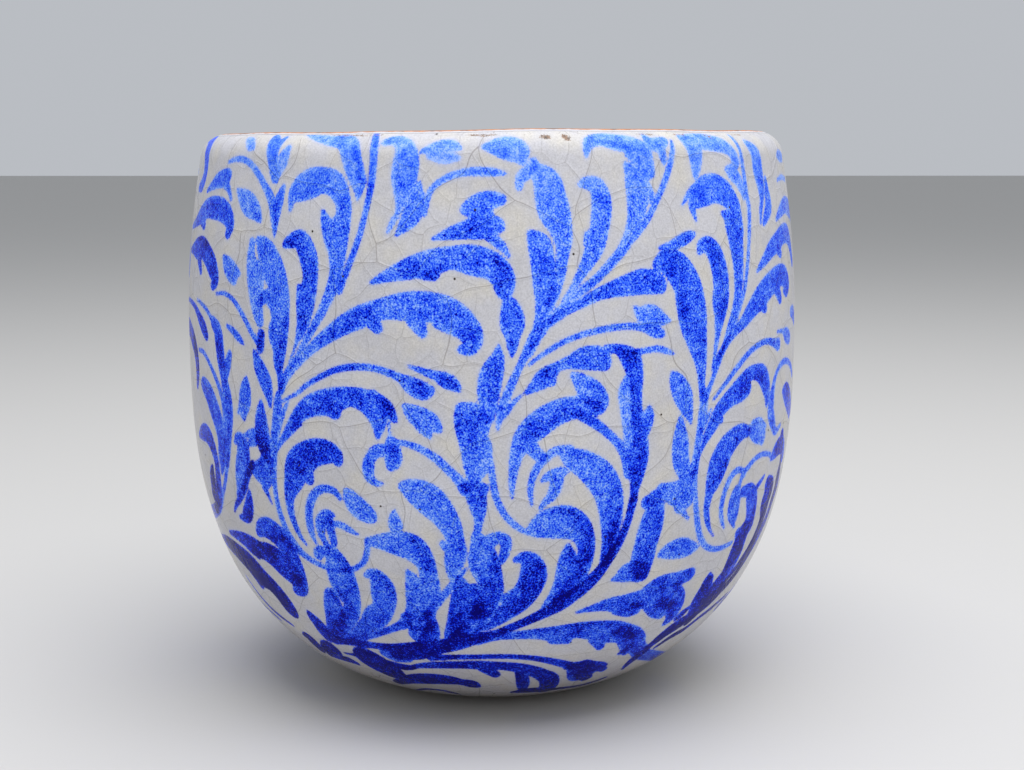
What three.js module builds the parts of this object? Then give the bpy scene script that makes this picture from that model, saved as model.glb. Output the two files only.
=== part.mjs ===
// Round-bottomed talavera pot: red earthenware under a white tin glaze, inside and out, with the clay
// left bare on the crown of the lip, on the underside of the floor and on the foot ring.
// Millimetres, +Z up. The origin is the centre of the circle that the foot ring stands on.
//
// The clay is four pieces luted together with slip: a floor slab, the wall pressed round it, a coil
// for the lip on top of the wall and a coil for the foot under the slab. Two coats of glaze cover it.
import * as THREE from "three";

// Driving dimensions
const HEIGHT = 228; // ground to the crown of the lip
const BELLY_R = 125; // widest radius, over the glaze
const BELLY_Z = 153; // height of the widest line
const BOWL_R = 43.5; // radius where the bowl would lie flat
const FOOT_RISE = 2; // height of the bowl's lowest line above the ground
const LIP_R = 11; // outer rounding of the lip
const LIP_LEAN = THREE.MathUtils.degToRad(8.6); // the wall's inward lean where it meets the lip
const CLAY = 8.5; // thickness of the clay wall
const GLAZE = 0.7; // thickness of each glaze coat
const GAP = 0.3; // clearance kept between neighbouring pieces

// The bowl is a quarter of a superellipse, and the shoulder is a power curve
const BOWL_RISE_POWER = 0.65;
const BOWL_SPREAD_POWER = 1.25;
const SHOULDER_POWER = 1.7;

// Lip, seen in section
const CROWN_INNER_R = 2.5; // inner rounding of the lip
const LIP_FACE_Z = 222.5; // where the lip's upright inner face begins
const GLAZE_STOP = THREE.MathUtils.degToRad(66); // the outer glaze ends here on the lip's rounding

// Foot ring, seen in section
const FOOT_OUTER_R = 42;
const FOOT_INNER_R = 33;
const FOOT_CHAMFER = 1;

// Fineness
const TURNS = 48; // facets round the pot
const BOWL_STEPS = 9;
const SHOULDER_STEPS = 5;
const LIP_STEPS = 5;
const CROWN_STEPS = 3;
const BOWL_START = THREE.MathUtils.degToRad(7); // the wall's lower edge, on the bowl's curve

// Worked out from the dimensions above
const COAT = GLAZE + GAP; // from the pot's skin to the clay
const SHOULDER_TOP = HEIGHT - LIP_R * (1 - Math.sin(LIP_LEAN));
const SHOULDER_RISE = SHOULDER_TOP - BELLY_Z;
const SHOULDER_DROP = (Math.tan(LIP_LEAN) * SHOULDER_RISE) / SHOULDER_POWER;
const CROWN_R = BELLY_R - SHOULDER_DROP - LIP_R * Math.cos(LIP_LEAN);
const LIP_Z = HEIGHT - LIP_R; // height of the centre of the lip's rounding

const terracotta = new THREE.MeshStandardMaterial({ color: 0xb0583a, roughness: 0.9 });
const tinGlaze = new THREE.MeshStandardMaterial({ color: 0xd9d6d0, roughness: 0.3 });

const point = (r, z) => new THREE.Vector2(r, z);

// Evenly spaced numbers from a to b, both included
const steps = (a, b, count) =>
  Array.from({ length: count + 1 }, (_, i) => a + ((b - a) * i) / count);

// The pot's skin, as [radius, height], in three stretches that join tangentially
const bowlPoint = (angle) =>
  point(
    BOWL_R + (BELLY_R - BOWL_R) * Math.sin(angle) ** BOWL_SPREAD_POWER,
    FOOT_RISE + (BELLY_Z - FOOT_RISE) * (1 - Math.cos(angle) ** BOWL_RISE_POWER),
  );

const shoulderPoint = (share) =>
  point(
    BELLY_R - SHOULDER_DROP * share ** SHOULDER_POWER,
    BELLY_Z + SHOULDER_RISE * share,
  );

const lipPoint = (angle, radius) =>
  point(CROWN_R + radius * Math.cos(angle), LIP_Z + radius * Math.sin(angle));

// Moves a line by a distance towards the pot's axis and inside, square to itself
function inward(line, distance) {
  return line.map((here, i) => {
    const before = line[Math.max(i - 1, 0)];
    const after = line[Math.min(i + 1, line.length - 1)];
    const along = after.clone().sub(before).normalize();
    return point(here.x - along.y * distance, here.y + along.x * distance);
  });
}

// The section between a line moved inward by one distance and by another
const band = (line, near, far) => [...inward(line, near), ...inward(line, far).reverse()];

// A solid of revolution about +Z from a closed section
function turned(name, section, material) {
  const shape = new THREE.LatheGeometry([...section, section[0].clone()], TURNS);
  const mesh = new THREE.Mesh(shape, material);
  mesh.name = name;
  mesh.rotation.x = Math.PI / 2;
  return mesh;
}

const bowlLine = steps(BOWL_START, Math.PI / 2, BOWL_STEPS).map(bowlPoint);
const shoulderLine = steps(0, 1, SHOULDER_STEPS).slice(1).map(shoulderPoint);
const wallLine = [...bowlLine, ...shoulderLine];
const wallInside = inward(wallLine, COAT + CLAY);

function clayWall() {
  return turned("clay_wall", band(wallLine, COAT, COAT + CLAY), terracotta);
}

// The slab's edge runs parallel to the wall's lower end
function clayFloor() {
  const under = inward(wallLine, COAT)[0];
  const top = wallInside[0];
  const section = [
    point(0, under.y),
    point(under.x - GAP, under.y),
    point(top.x - GAP, top.y),
    point(0, top.y),
  ];
  return turned("clay_floor", section, terracotta);
}

function footRing() {
  const top = inward(wallLine, COAT)[0].y - GAP;
  const section = [
    point(FOOT_INNER_R + FOOT_CHAMFER, 0),
    point(FOOT_OUTER_R - FOOT_CHAMFER, 0),
    point(FOOT_OUTER_R, FOOT_CHAMFER),
    point(FOOT_OUTER_R, top),
    point(FOOT_INNER_R, top),
    point(FOOT_INNER_R, FOOT_CHAMFER),
  ];
  return turned("foot_ring", section, terracotta);
}

// The glazed part of the lip is as far under the skin as the wall is; its bare crown is the skin itself
function clayLip() {
  const start = LIP_LEAN + GAP / (LIP_R - COAT);
  const glazed = steps(start, GLAZE_STOP, LIP_STEPS).map((angle) => lipPoint(angle, LIP_R - COAT));
  const bare = steps(GLAZE_STOP + GAP / LIP_R, Math.PI / 2, CROWN_STEPS).map((angle) =>
    lipPoint(angle, LIP_R),
  );
  const crown = steps(Math.PI / 2, Math.PI, CROWN_STEPS)
    .slice(1)
    .map((angle) =>
      point(
        CROWN_R + CROWN_INNER_R * Math.cos(angle),
        HEIGHT - CROWN_INNER_R * (1 - Math.sin(angle)),
      ),
    );
  const inner = wallInside.at(-1);
  const section = [
    ...glazed,
    ...bare,
    ...crown,
    point(CROWN_R - CROWN_INNER_R, LIP_FACE_Z),
    point(inner.x, inner.y + GAP),
  ];
  return turned("clay_lip", section, terracotta);
}

function outerGlaze() {
  const lipLine = steps(LIP_LEAN, GLAZE_STOP, LIP_STEPS)
    .slice(1)
    .map((angle) => lipPoint(angle, LIP_R));
  return turned("outer_glaze", band([...wallLine, ...lipLine], 0, GLAZE), tinGlaze);
}

// A cup: over the slab, up the wall and up the inner face of the lip
function innerGlaze() {
  const faceR = CROWN_R - CROWN_INNER_R;
  const line = [
    ...wallInside,
    point(faceR, LIP_FACE_Z),
    point(faceR, HEIGHT - CROWN_INNER_R),
  ];
  const near = inward(line, GAP);
  const far = inward(line, COAT);
  const floorZ = wallInside[0].y;
  near[0].y = floorZ + GAP;
  far[0].y = floorZ + COAT;
  const section = [point(0, near[0].y), ...near, ...far.reverse(), point(0, floorZ + COAT)];
  return turned("inner_glaze", section, tinGlaze);
}

const pot = new THREE.Group();
pot.add(clayFloor(), footRing(), clayWall(), clayLip(), outerGlaze(), innerGlaze());

export default pot;
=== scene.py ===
"""The looks of the talavera pot: a fine mesh of each piece in the CAD's own shape, with painted glaze.

Lengths are in millimetres until a mesh is made. Angles round the pot are in degrees, and angles in
its section are in radians. A place on the pot's skin is written as (degrees round, mm up): the angle
from the front, positive to the viewer's right, and the length along the section from the foot of the
bowl.
"""

import math

import bmesh
import bpy
import numpy as np
from mathutils import Matrix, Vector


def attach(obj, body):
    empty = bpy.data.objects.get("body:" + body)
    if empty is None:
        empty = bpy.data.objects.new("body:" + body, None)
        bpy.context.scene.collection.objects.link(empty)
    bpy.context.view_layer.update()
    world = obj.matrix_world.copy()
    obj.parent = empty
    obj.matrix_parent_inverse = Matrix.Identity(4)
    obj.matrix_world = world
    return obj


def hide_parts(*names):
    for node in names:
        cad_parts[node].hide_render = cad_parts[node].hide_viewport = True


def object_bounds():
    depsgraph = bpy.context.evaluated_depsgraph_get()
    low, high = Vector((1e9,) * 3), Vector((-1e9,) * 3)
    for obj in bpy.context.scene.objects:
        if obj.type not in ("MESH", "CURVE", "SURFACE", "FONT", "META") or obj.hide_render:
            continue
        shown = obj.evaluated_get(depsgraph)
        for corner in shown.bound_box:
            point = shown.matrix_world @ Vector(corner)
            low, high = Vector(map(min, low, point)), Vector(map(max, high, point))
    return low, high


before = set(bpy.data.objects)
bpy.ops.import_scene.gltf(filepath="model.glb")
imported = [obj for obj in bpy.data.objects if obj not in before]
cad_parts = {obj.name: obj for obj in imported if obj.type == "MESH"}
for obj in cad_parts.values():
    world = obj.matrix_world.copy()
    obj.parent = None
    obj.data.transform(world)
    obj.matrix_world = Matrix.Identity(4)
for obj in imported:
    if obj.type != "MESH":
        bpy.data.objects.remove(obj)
cad_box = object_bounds()

MM = 0.001

# The pot, as in the CAD
HEIGHT = 228  # ground to the crown of the lip
BELLY_R = 125  # widest radius, over the glaze
BELLY_Z = 153  # height of the widest line
BOWL_R = 43.5  # radius where the bowl would lie flat
FOOT_RISE = 2  # height of the bowl's lowest line above the ground
LIP_R = 11  # outer rounding of the lip
LIP_LEAN = math.radians(8.6)  # the wall's inward lean where it meets the lip
CLAY = 8.5  # thickness of the clay wall
GLAZE = 0.7  # thickness of each glaze coat
GAP = 0.3  # clearance kept between neighbouring pieces
BOWL_RISE_POWER = 0.65
BOWL_SPREAD_POWER = 1.25
SHOULDER_POWER = 1.7
CROWN_INNER_R = 2.5  # inner rounding of the lip
LIP_FACE_Z = 222.5  # where the lip's upright inner face begins
GLAZE_STOP = math.radians(66)  # the outer glaze ends here on the lip's rounding
BOWL_START = math.radians(7)  # the wall's lower edge, on the bowl's curve
FOOT_OUTER_R = 42
FOOT_INNER_R = 33
FOOT_CHAMFER = 1
COAT = GLAZE + GAP  # from the pot's skin to the clay
SHOULDER_TOP = HEIGHT - LIP_R * (1 - math.sin(LIP_LEAN))
SHOULDER_RISE = SHOULDER_TOP - BELLY_Z
SHOULDER_DROP = math.tan(LIP_LEAN) * SHOULDER_RISE / SHOULDER_POWER
CROWN_R = BELLY_R - SHOULDER_DROP - LIP_R * math.cos(LIP_LEAN)
LIP_Z = HEIGHT - LIP_R  # height of the centre of the lip's rounding

# How fine the meshes are
SKIN_STEPS = 400, 200, 200  # steps along the bowl, the shoulder and the lip where lengths are measured
WALL_STEPS = 60, 24, 0  # and on the plain pieces, whose wall stops below the lip
GLAZED_POINTS = 12  # points on the lip's glazed rounding
BARE_POINTS = 10  # on its bare rounding
CROWN_POINTS = 8  # on its inner rounding
CHAMFER_POINTS = 5  # on each rounded edge of the foot ring
GORES = 8
GORE_COLUMNS = 98  # columns of the fine face of one gore, about a millimetre each
COARSE = 7  # columns and rows of the fine face to one of the hidden face
ROW_GROUPS = 37
COLUMNS = GORES * GORE_COLUMNS
ROWS = ROW_GROUPS * COARSE + 1
TURNS = 192  # facets round the plain pieces

# Unevenness and wear
EDGE_TAPER = 4  # the outer coat thins out over this length at its two edges
EDGE_SHARE = 0.35  # and is this share of its thickness there
CHIP_SHARE = 0.5  # the share of the coat that a chip takes away
WALL_SWELL = 0.5  # how far the wall swells out at most
WALL_EVEN_BELOW = 5, 40  # the swelling grows between these lengths up the section
WALL_EVEN_ABOVE = 225, 250  # and dies away between these
RIM_WAVE_FROM = 235, 255  # the rim's unevenness grows between these lengths up the section
WEAR_START, WEAR_FULL = 0.55, 0.2  # how far below its crown the lip begins to be worn, and is worn bare

# The painting
DEGREE = BELLY_R * math.pi / 180  # the chart takes a degree to be as long as it is at the belly
BLEED = 0.2  # how far the pigment spreads past the brush stroke in the firing
REACH = 3.0  # how far outside a stroke its depth is still worked out
STROKE_STEP = 0.6  # distance between the points of a smoothed stroke
THINNEST = 0.4  # the narrowest line the brush leaves
OVERLAP_EDGE = -0.4, 0.6  # depths inside a stroke between which a leaf, a pool and a chip set in
POOL_EDGE = -2, 1.8
CHIP_EDGE = -0.2, 0.5

# Round the back the front's sprays are repeated about other angles, and stand closer together
LEFT_MIDDLE = -38  # the angles about which they stand on the front
SPIRAL_MIDDLE = 2
LOWER_MIDDLE = 5
BACK_EDGE = 82  # past this angle on either side the painting is repeated
BACK_SPRAYS = 112, 180, 248
BACK_SPIRALS = (78, 1), (146, 0.87), (214, 0.87), (282, 1)  # angle and squeeze
SPRAY_SQUEEZE = 0.87
LOWER_SQUEEZE = 0.85

# Each leaf is (pigment, stroke, ...), and each stroke a list of (degrees round, mm up, width)
# The spray left of the middle
LEFT = [
    (0.5, [(-43.9, 224.9, 3), (-41.8, 220.9, 9), (-39.6, 213.6, 10.9), (-37.7, 205.7, 7.7),
        (-37.2, 198.3, 6), (-38.3, 192.3, 9.9), (-38.1, 186, 6.8), (-38.3, 180.3, 4.7),
        (-38.1, 175.7, 2.5), (-38.1, 169, 1.5)], [(-43.1, 201.6, 3), (-41.4, 204.6, 5), (-39.2, 201.7, 6),
        (-38.3, 196.3, 7), (-38.6, 190.3, 8)]),
    (0.35, [(-45.6, 224.1, 3), (-45.6, 217.6, 5), (-44.3, 211.6, 9.4), (-44, 205.6, 7.9),
        (-43.4, 198.9, 5.9), (-42.8, 195, 4)]),
    (0.6, [(-56.9, 203.4, 1), (-53.4, 203.9, 1.6), (-50.3, 201.6, 1.9), (-47.3, 196.2, 2.2),
        (-44.9, 190.3, 2.2), (-43.1, 187, 3)]),
    (0.7, [(-42.5, 190.5, 4), (-42.8, 185.5, 4)]),
    (0.65, [(-44.5, 184, 1.5), (-43.1, 178.3, 6), (-41.6, 173, 6.5), (-40.8, 167.7, 3.5),
        (-40.6, 164, 1)]),
    (0.6, [(-36, 180.3, 0.8), (-34.3, 188.3, 1.5), (-32.8, 196.3, 5.5), (-32.1, 205, 7.5),
        (-31.5, 212.3, 6.5), (-32.1, 219.7, 8), (-33.9, 225.6, 7), (-36.4, 224.6, 4.5),
        (-37.3, 223.6, 2.5)], [(-33.8, 209, 2), (-32.9, 202.3, 6), (-33.1, 195.7, 4)]),
    (0.5, [(-36.5, 236.2, 1.5), (-36.2, 241, 4.1), (-34.6, 243.9, 9.2), (-32.5, 246, 11.2),
        (-30.3, 247.2, 9.7), (-27.6, 245.9, 9.1), (-25.7, 239.8, 6.6), (-25.5, 233.7, 6.5),
        (-26.6, 227.7, 10), (-26.3, 221, 7), (-26.5, 214.3, 5), (-27.4, 207.7, 4.5), (-28.9, 201, 3.5),
        (-30.6, 195, 3), (-32.5, 189, 2.5), (-34.3, 183, 2), (-36.5, 177.7, 2), (-38.1, 170.3, 2)],
        [(-29.5, 236, 1.5), (-28.7, 232, 4.5), (-27.4, 226.5, 7)]),
    (0.6, [(-21.3, 267.3, 2), (-20.5, 259.8, 2.9), (-20.4, 249.2, 2.6), (-21, 239.8, 2.2),
        (-22.1, 229.1, 2.2), (-23.5, 220.3, 2.3), (-24.7, 213.7, 2.3), (-25.8, 208.3, 3)]),
    (0.4, [(-36.3, 266.8, 1), (-33.9, 264.9, 3), (-29.9, 262.8, 4.9), (-26.9, 262.2, 6.9),
        (-25.3, 259.3, 7.9), (-24, 252.3, 7.5), (-23, 247.2, 6.1), (-22.8, 243.1, 3),
        (-22.9, 240.1, 0.8)]),
    (0.5, [(-43.9, 264.9, 2.8), (-42.8, 260.7, 6.3), (-41.9, 255.3, 5.9), (-41.3, 249.3, 3.5),
        (-41.1, 246.7, 1.5)], [(-40.7, 264.1, 1.9), (-41.8, 259.3, 4.9)]),
    (0.4, [(-38.5, 258.9, 2.9), (-39.3, 254.4, 5.5), (-40.2, 249.8, 3.5), (-40.4, 246.2, 1)]),
    (0.5, [(-55.9, 253.6, 1.2), (-53.8, 254.5, 1.8), (-51, 254.7, 2.2), (-48.3, 253.2, 2.4),
        (-45.8, 249.9, 2.8), (-43.4, 245.1, 3), (-41.2, 239.4, 4), (-40.1, 231.9, 3.5),
        (-39.9, 226.4, 0.8)]),
    (0.45, [(-38.5, 244.7, 2), (-39.4, 238.9, 4.6), (-39.7, 232.9, 3), (-39.9, 226.9, 0.8)]),
    (0.4, [(-51.4, 242.9, 1.5), (-49.4, 240.4, 6), (-47.4, 237.8, 9), (-45.4, 235.3, 6.5),
        (-43.9, 232.3, 2.5)]),
    (0.35, [(-52.3, 263.8, 1.4), (-50.5, 261.9, 3.8), (-49.2, 259.9, 3.9), (-47.9, 258.6, 1)]),
    (0.4, [(-54.2, 217.3, 2.5), (-52.6, 214.3, 6.9), (-51.1, 211.8, 7.4), (-50.3, 208.4, 2)],
        [(-50.6, 213.8, 4), (-48.9, 211.9, 2)]),
    (0.65, [(-52.7, 191.9, 1.5), (-51, 190.7, 2.5), (-49.5, 188.9, 3.2), (-48, 186.9, 2),
        (-47.3, 186.1, 0.6)]),
    (0.55, [(-37.9, 166.5, 0.8), (-34.3, 170.3, 1.4), (-32.2, 173.7, 1.8), (-29.1, 177.4, 2),
        (-26.2, 180.1, 2.2), (-23.1, 181.4, 2.4), (-19.7, 181.4, 2.4), (-16.8, 179.8, 2.6),
        (-14.8, 178, 3.2), (-13.1, 175.7, 6), (-11.4, 173.9, 6.5), (-10.2, 174, 4)]),
    (0.55, [(-13.5, 182.5, 1), (-11.4, 181, 2.2), (-8.9, 179.2, 3.5), (-7.2, 177.5, 5.5),
        (-5.9, 175.7, 3.5), (-5.4, 174.2, 1.5)]),
    (0.45, [(-37.8, 170.3, 2.5), (-36.5, 175.7, 2.5), (-33.7, 182.3, 3.5), (-30.7, 187.7, 4),
        (-27.6, 192.4, 5.5), (-24.6, 196.4, 7), (-21.6, 199.4, 8), (-17.9, 202.3, 7.5), (-13.9, 203.4, 10),
        (-9.9, 203.2, 10.5), (-6.9, 201.2, 10.5), (-4.5, 197.2, 9.5), (-3.2, 192.8, 7.5), (-3.6, 189.1, 5),
        (-4.9, 188.7, 3)], [(-20.3, 199.1, 6), (-18.8, 195.6, 4)], [(-12.4, 199.2, 7),
        (-11.2, 194.2, 3.5)], [(-8.4, 198.7, 6), (-5.9, 195.2, 4)]),
    (0.65, [(-39.8, 147.5, 1.3), (-38.4, 151.5, 2.2), (-36.9, 155, 3.5), (-35.5, 158.5, 5),
        (-33.7, 163, 6), (-31.2, 166.5, 8), (-27.7, 168.4, 9.5), (-24.2, 170.6, 7), (-21.3, 169.6, 8),
        (-19.3, 166.1, 8.5), (-18.8, 161.6, 5.5), (-19, 156.6, 1.5)], [(-19.8, 171.1, 5),
        (-17.6, 167.6, 5.5), (-16.3, 164.1, 3), (-15.8, 162.4, 1)], [(-28.2, 167.1, 7), (-26.7, 164.6, 5)],
        [(-34.7, 160.5, 4), (-34, 159, 2.5)]),
    (0.45, [(-14.4, 168.5, 1.5), (-12.8, 165.7, 6), (-10.8, 163.2, 8), (-9.4, 161.7, 5), (-8.6, 160, 2)],
        [(-11.3, 161.2, 5), (-10.2, 157.5, 1.5)]),
    (0.55, [(-38.6, 169, 2.5), (-38.8, 164, 4.2), (-39.4, 158, 4), (-40.1, 151, 3.6), (-40.4, 145.1, 3.1),
        (-40.8, 138.1, 2.5), (-40.9, 130.2, 2.4), (-40.4, 122.4, 2.7), (-39.4, 115.6, 3.2),
        (-38.2, 110.8, 4.2), (-36.6, 107.9, 3), (-34.6, 105.6, 2.4), (-32.3, 104, 2.1), (-29.4, 103.3, 2),
        (-26.5, 104.3, 2), (-24.5, 106.4, 2), (-23.2, 109.2, 2.2), (-22.4, 113.6, 2.2),
        (-22.3, 117.5, 1.8)]),
    (0.45, [(-36.3, 167, 1), (-37.5, 162.5, 2), (-38.8, 156, 2), (-39.6, 150.5, 1.6)]),
    (0.7, [(-35.3, 112.2, 1), (-36.4, 115.6, 2), (-37.2, 119.9, 2.8), (-37.7, 125.3, 3.4),
        (-37.5, 131.2, 4.9), (-36.2, 137.6, 9), (-34.6, 144.1, 12), (-31.7, 148.6, 10.5), (-29, 149.9, 9),
        (-27, 149.1, 6), (-26.5, 146.9, 4.1)], [(-34.1, 145.1, 8), (-32.9, 141.6, 5.1),
        (-32.6, 138.6, 4.1)]),
    (0.55, [(-32.9, 113.6, 1), (-33.5, 117, 2.4), (-33.7, 121.4, 3.2), (-33.4, 126.8, 3.5),
        (-32.4, 131.7, 3.5), (-30.9, 134.9, 3.1), (-29.1, 136, 2.9), (-27.6, 135.2, 2.5),
        (-26.6, 132.7, 1.6)]),
    (0.6, [(-28.4, 125.8, 1.7), (-29.3, 125.8, 4.1), (-30.2, 124.3, 6.1), (-31.2, 121.9, 5.1),
        (-31.5, 118, 3.2), (-31, 115, 2.6), (-30.5, 112.6, 2.2)], [(-29.6, 123.3, 4.1),
        (-29.2, 118.4, 3.6), (-29, 114.6, 2.8)]),
    (0.5, [(-28.9, 122.8, 2.2), (-26.9, 122.3, 2.6), (-25.4, 120.9, 2.2), (-24, 119.4, 1.2)]),
    (0.5, [(-30.7, 112.6, 3.2), (-29.5, 108.8, 8.1), (-29, 103.1, 12.5), (-28.8, 97.4, 13.4),
        (-28.4, 92.7, 11), (-28.1, 88, 7.6), (-29.3, 83.4, 8), (-30.9, 79.7, 8), (-32.8, 75.7, 7.9),
        (-35, 71.4, 6.9), (-37.1, 67.7, 4.9)], [(-30.6, 110.7, 3.2), (-32.3, 110.5, 4.7),
        (-33.2, 108.8, 3.7), (-32.7, 107.6, 1.7)]),
    (0.6, [(-32.5, 93.3, 2.7), (-32.7, 90.5, 7.1), (-33, 86.3, 9.5), (-33.6, 81.7, 10.8),
        (-34.3, 77.2, 10.8), (-35.6, 72.8, 9.7), (-37.2, 68.6, 7.7), (-39, 64.6, 4.8)]),
    (0.55, [(-23.6, 102.4, 1.8), (-22.5, 103.6, 3.7), (-21.3, 102.1, 7.1), (-20.6, 98.3, 10.1),
        (-20.7, 94, 11.1), (-21.1, 89.7, 9.6), (-22.4, 85, 9.5), (-24.5, 80.9, 9), (-27, 76.8, 7),
        (-29.8, 72.4, 5.1), (-33, 68.6, 3.6), (-35.2, 65.7, 2.2)], [(-23.8, 88.4, 1.8), (-24.1, 86.3, 4.7),
        (-25.1, 83.7, 5.1), (-26.3, 80.5, 4.2)]),
    (0.4, [(-25.4, 136.2, 1.6), (-24.6, 133.7, 5.6), (-23.4, 130.2, 8.1), (-21.6, 127.6, 6.6),
        (-20.6, 126.3, 3.1)]),
    (0.75, [(-42.9, 166, 1), (-43.1, 161.5, 5), (-43.1, 156, 7.5), (-42.9, 150, 7.5), (-42.1, 145.5, 5),
        (-41, 143.6, 2.6)]),
    (0.45, [(-48, 151.5, 1.5), (-46.5, 152.5, 3), (-45.3, 153.5, 3)], [(-47, 148.5, 2),
        (-45.5, 150.5, 5)]),
    (0.65, [(-41.5, 143.1, 3.1), (-42.7, 140.1, 8), (-44.3, 138.6, 9), (-45.9, 139.1, 4.6),
        (-47.2, 139.6, 3.1)], [(-43, 141.1, 8), (-43, 136.6, 7), (-43.6, 133.2, 3.6), (-42.9, 129.7, 1.7),
        (-42.3, 126.8, 0.8)]),
    (0.95, [(-46.3, 141.6, 2.1), (-47.4, 138.6, 3.6), (-48.8, 134.7, 3.6), (-50.1, 130.2, 3.6),
        (-52.4, 125.4, 3.1), (-54.6, 121.6, 1.9), (-55.8, 118.7, 1)]),
    (0.55, [(-51.4, 148, 2), (-50.5, 150, 3.5), (-49.2, 148.5, 7), (-49, 144.1, 8.5), (-49.8, 138.6, 9.5),
        (-50.8, 133.7, 8), (-51.4, 129.3, 6), (-52.4, 126.4, 4.1)]),
    (0.9, [(-48.5, 129.7, 1.6), (-48.9, 126.3, 4.1), (-49.6, 122.9, 6), (-50.7, 119.6, 6.5),
        (-52, 117.7, 4.1), (-53.9, 117.2, 1.7)]),
    (0.55, [(-46.9, 173.5, 1.5), (-47.2, 169.5, 6), (-47.5, 165, 7.4), (-48.1, 161, 5.5), (-48, 158, 2)],
        [(-48.5, 162, 4), (-49.7, 159.8, 1.5)]),
    (0.75, [(-48.3, 112.8, 3.6), (-46.7, 115.2, 7), (-44.3, 115.6, 10), (-41.8, 112.7, 10),
        (-40.5, 107.9, 9), (-39.9, 102.7, 9.5), (-40, 96.7, 9.5), (-40.6, 92.1, 8.4), (-42.2, 89.3, 4.1)]),
    (0.9, [(-61.6, 107.3, 2), (-58.7, 107.6, 3.9), (-55.3, 107.2, 6.4), (-52.1, 105.7, 9.3),
        (-48.9, 104.8, 8.4), (-46.1, 103.8, 10.9), (-43.6, 101, 12.8), (-41.4, 97.2, 10.9)],
        [(-52, 104.5, 5), (-51.3, 101.6, 3.1)]),
]
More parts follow.
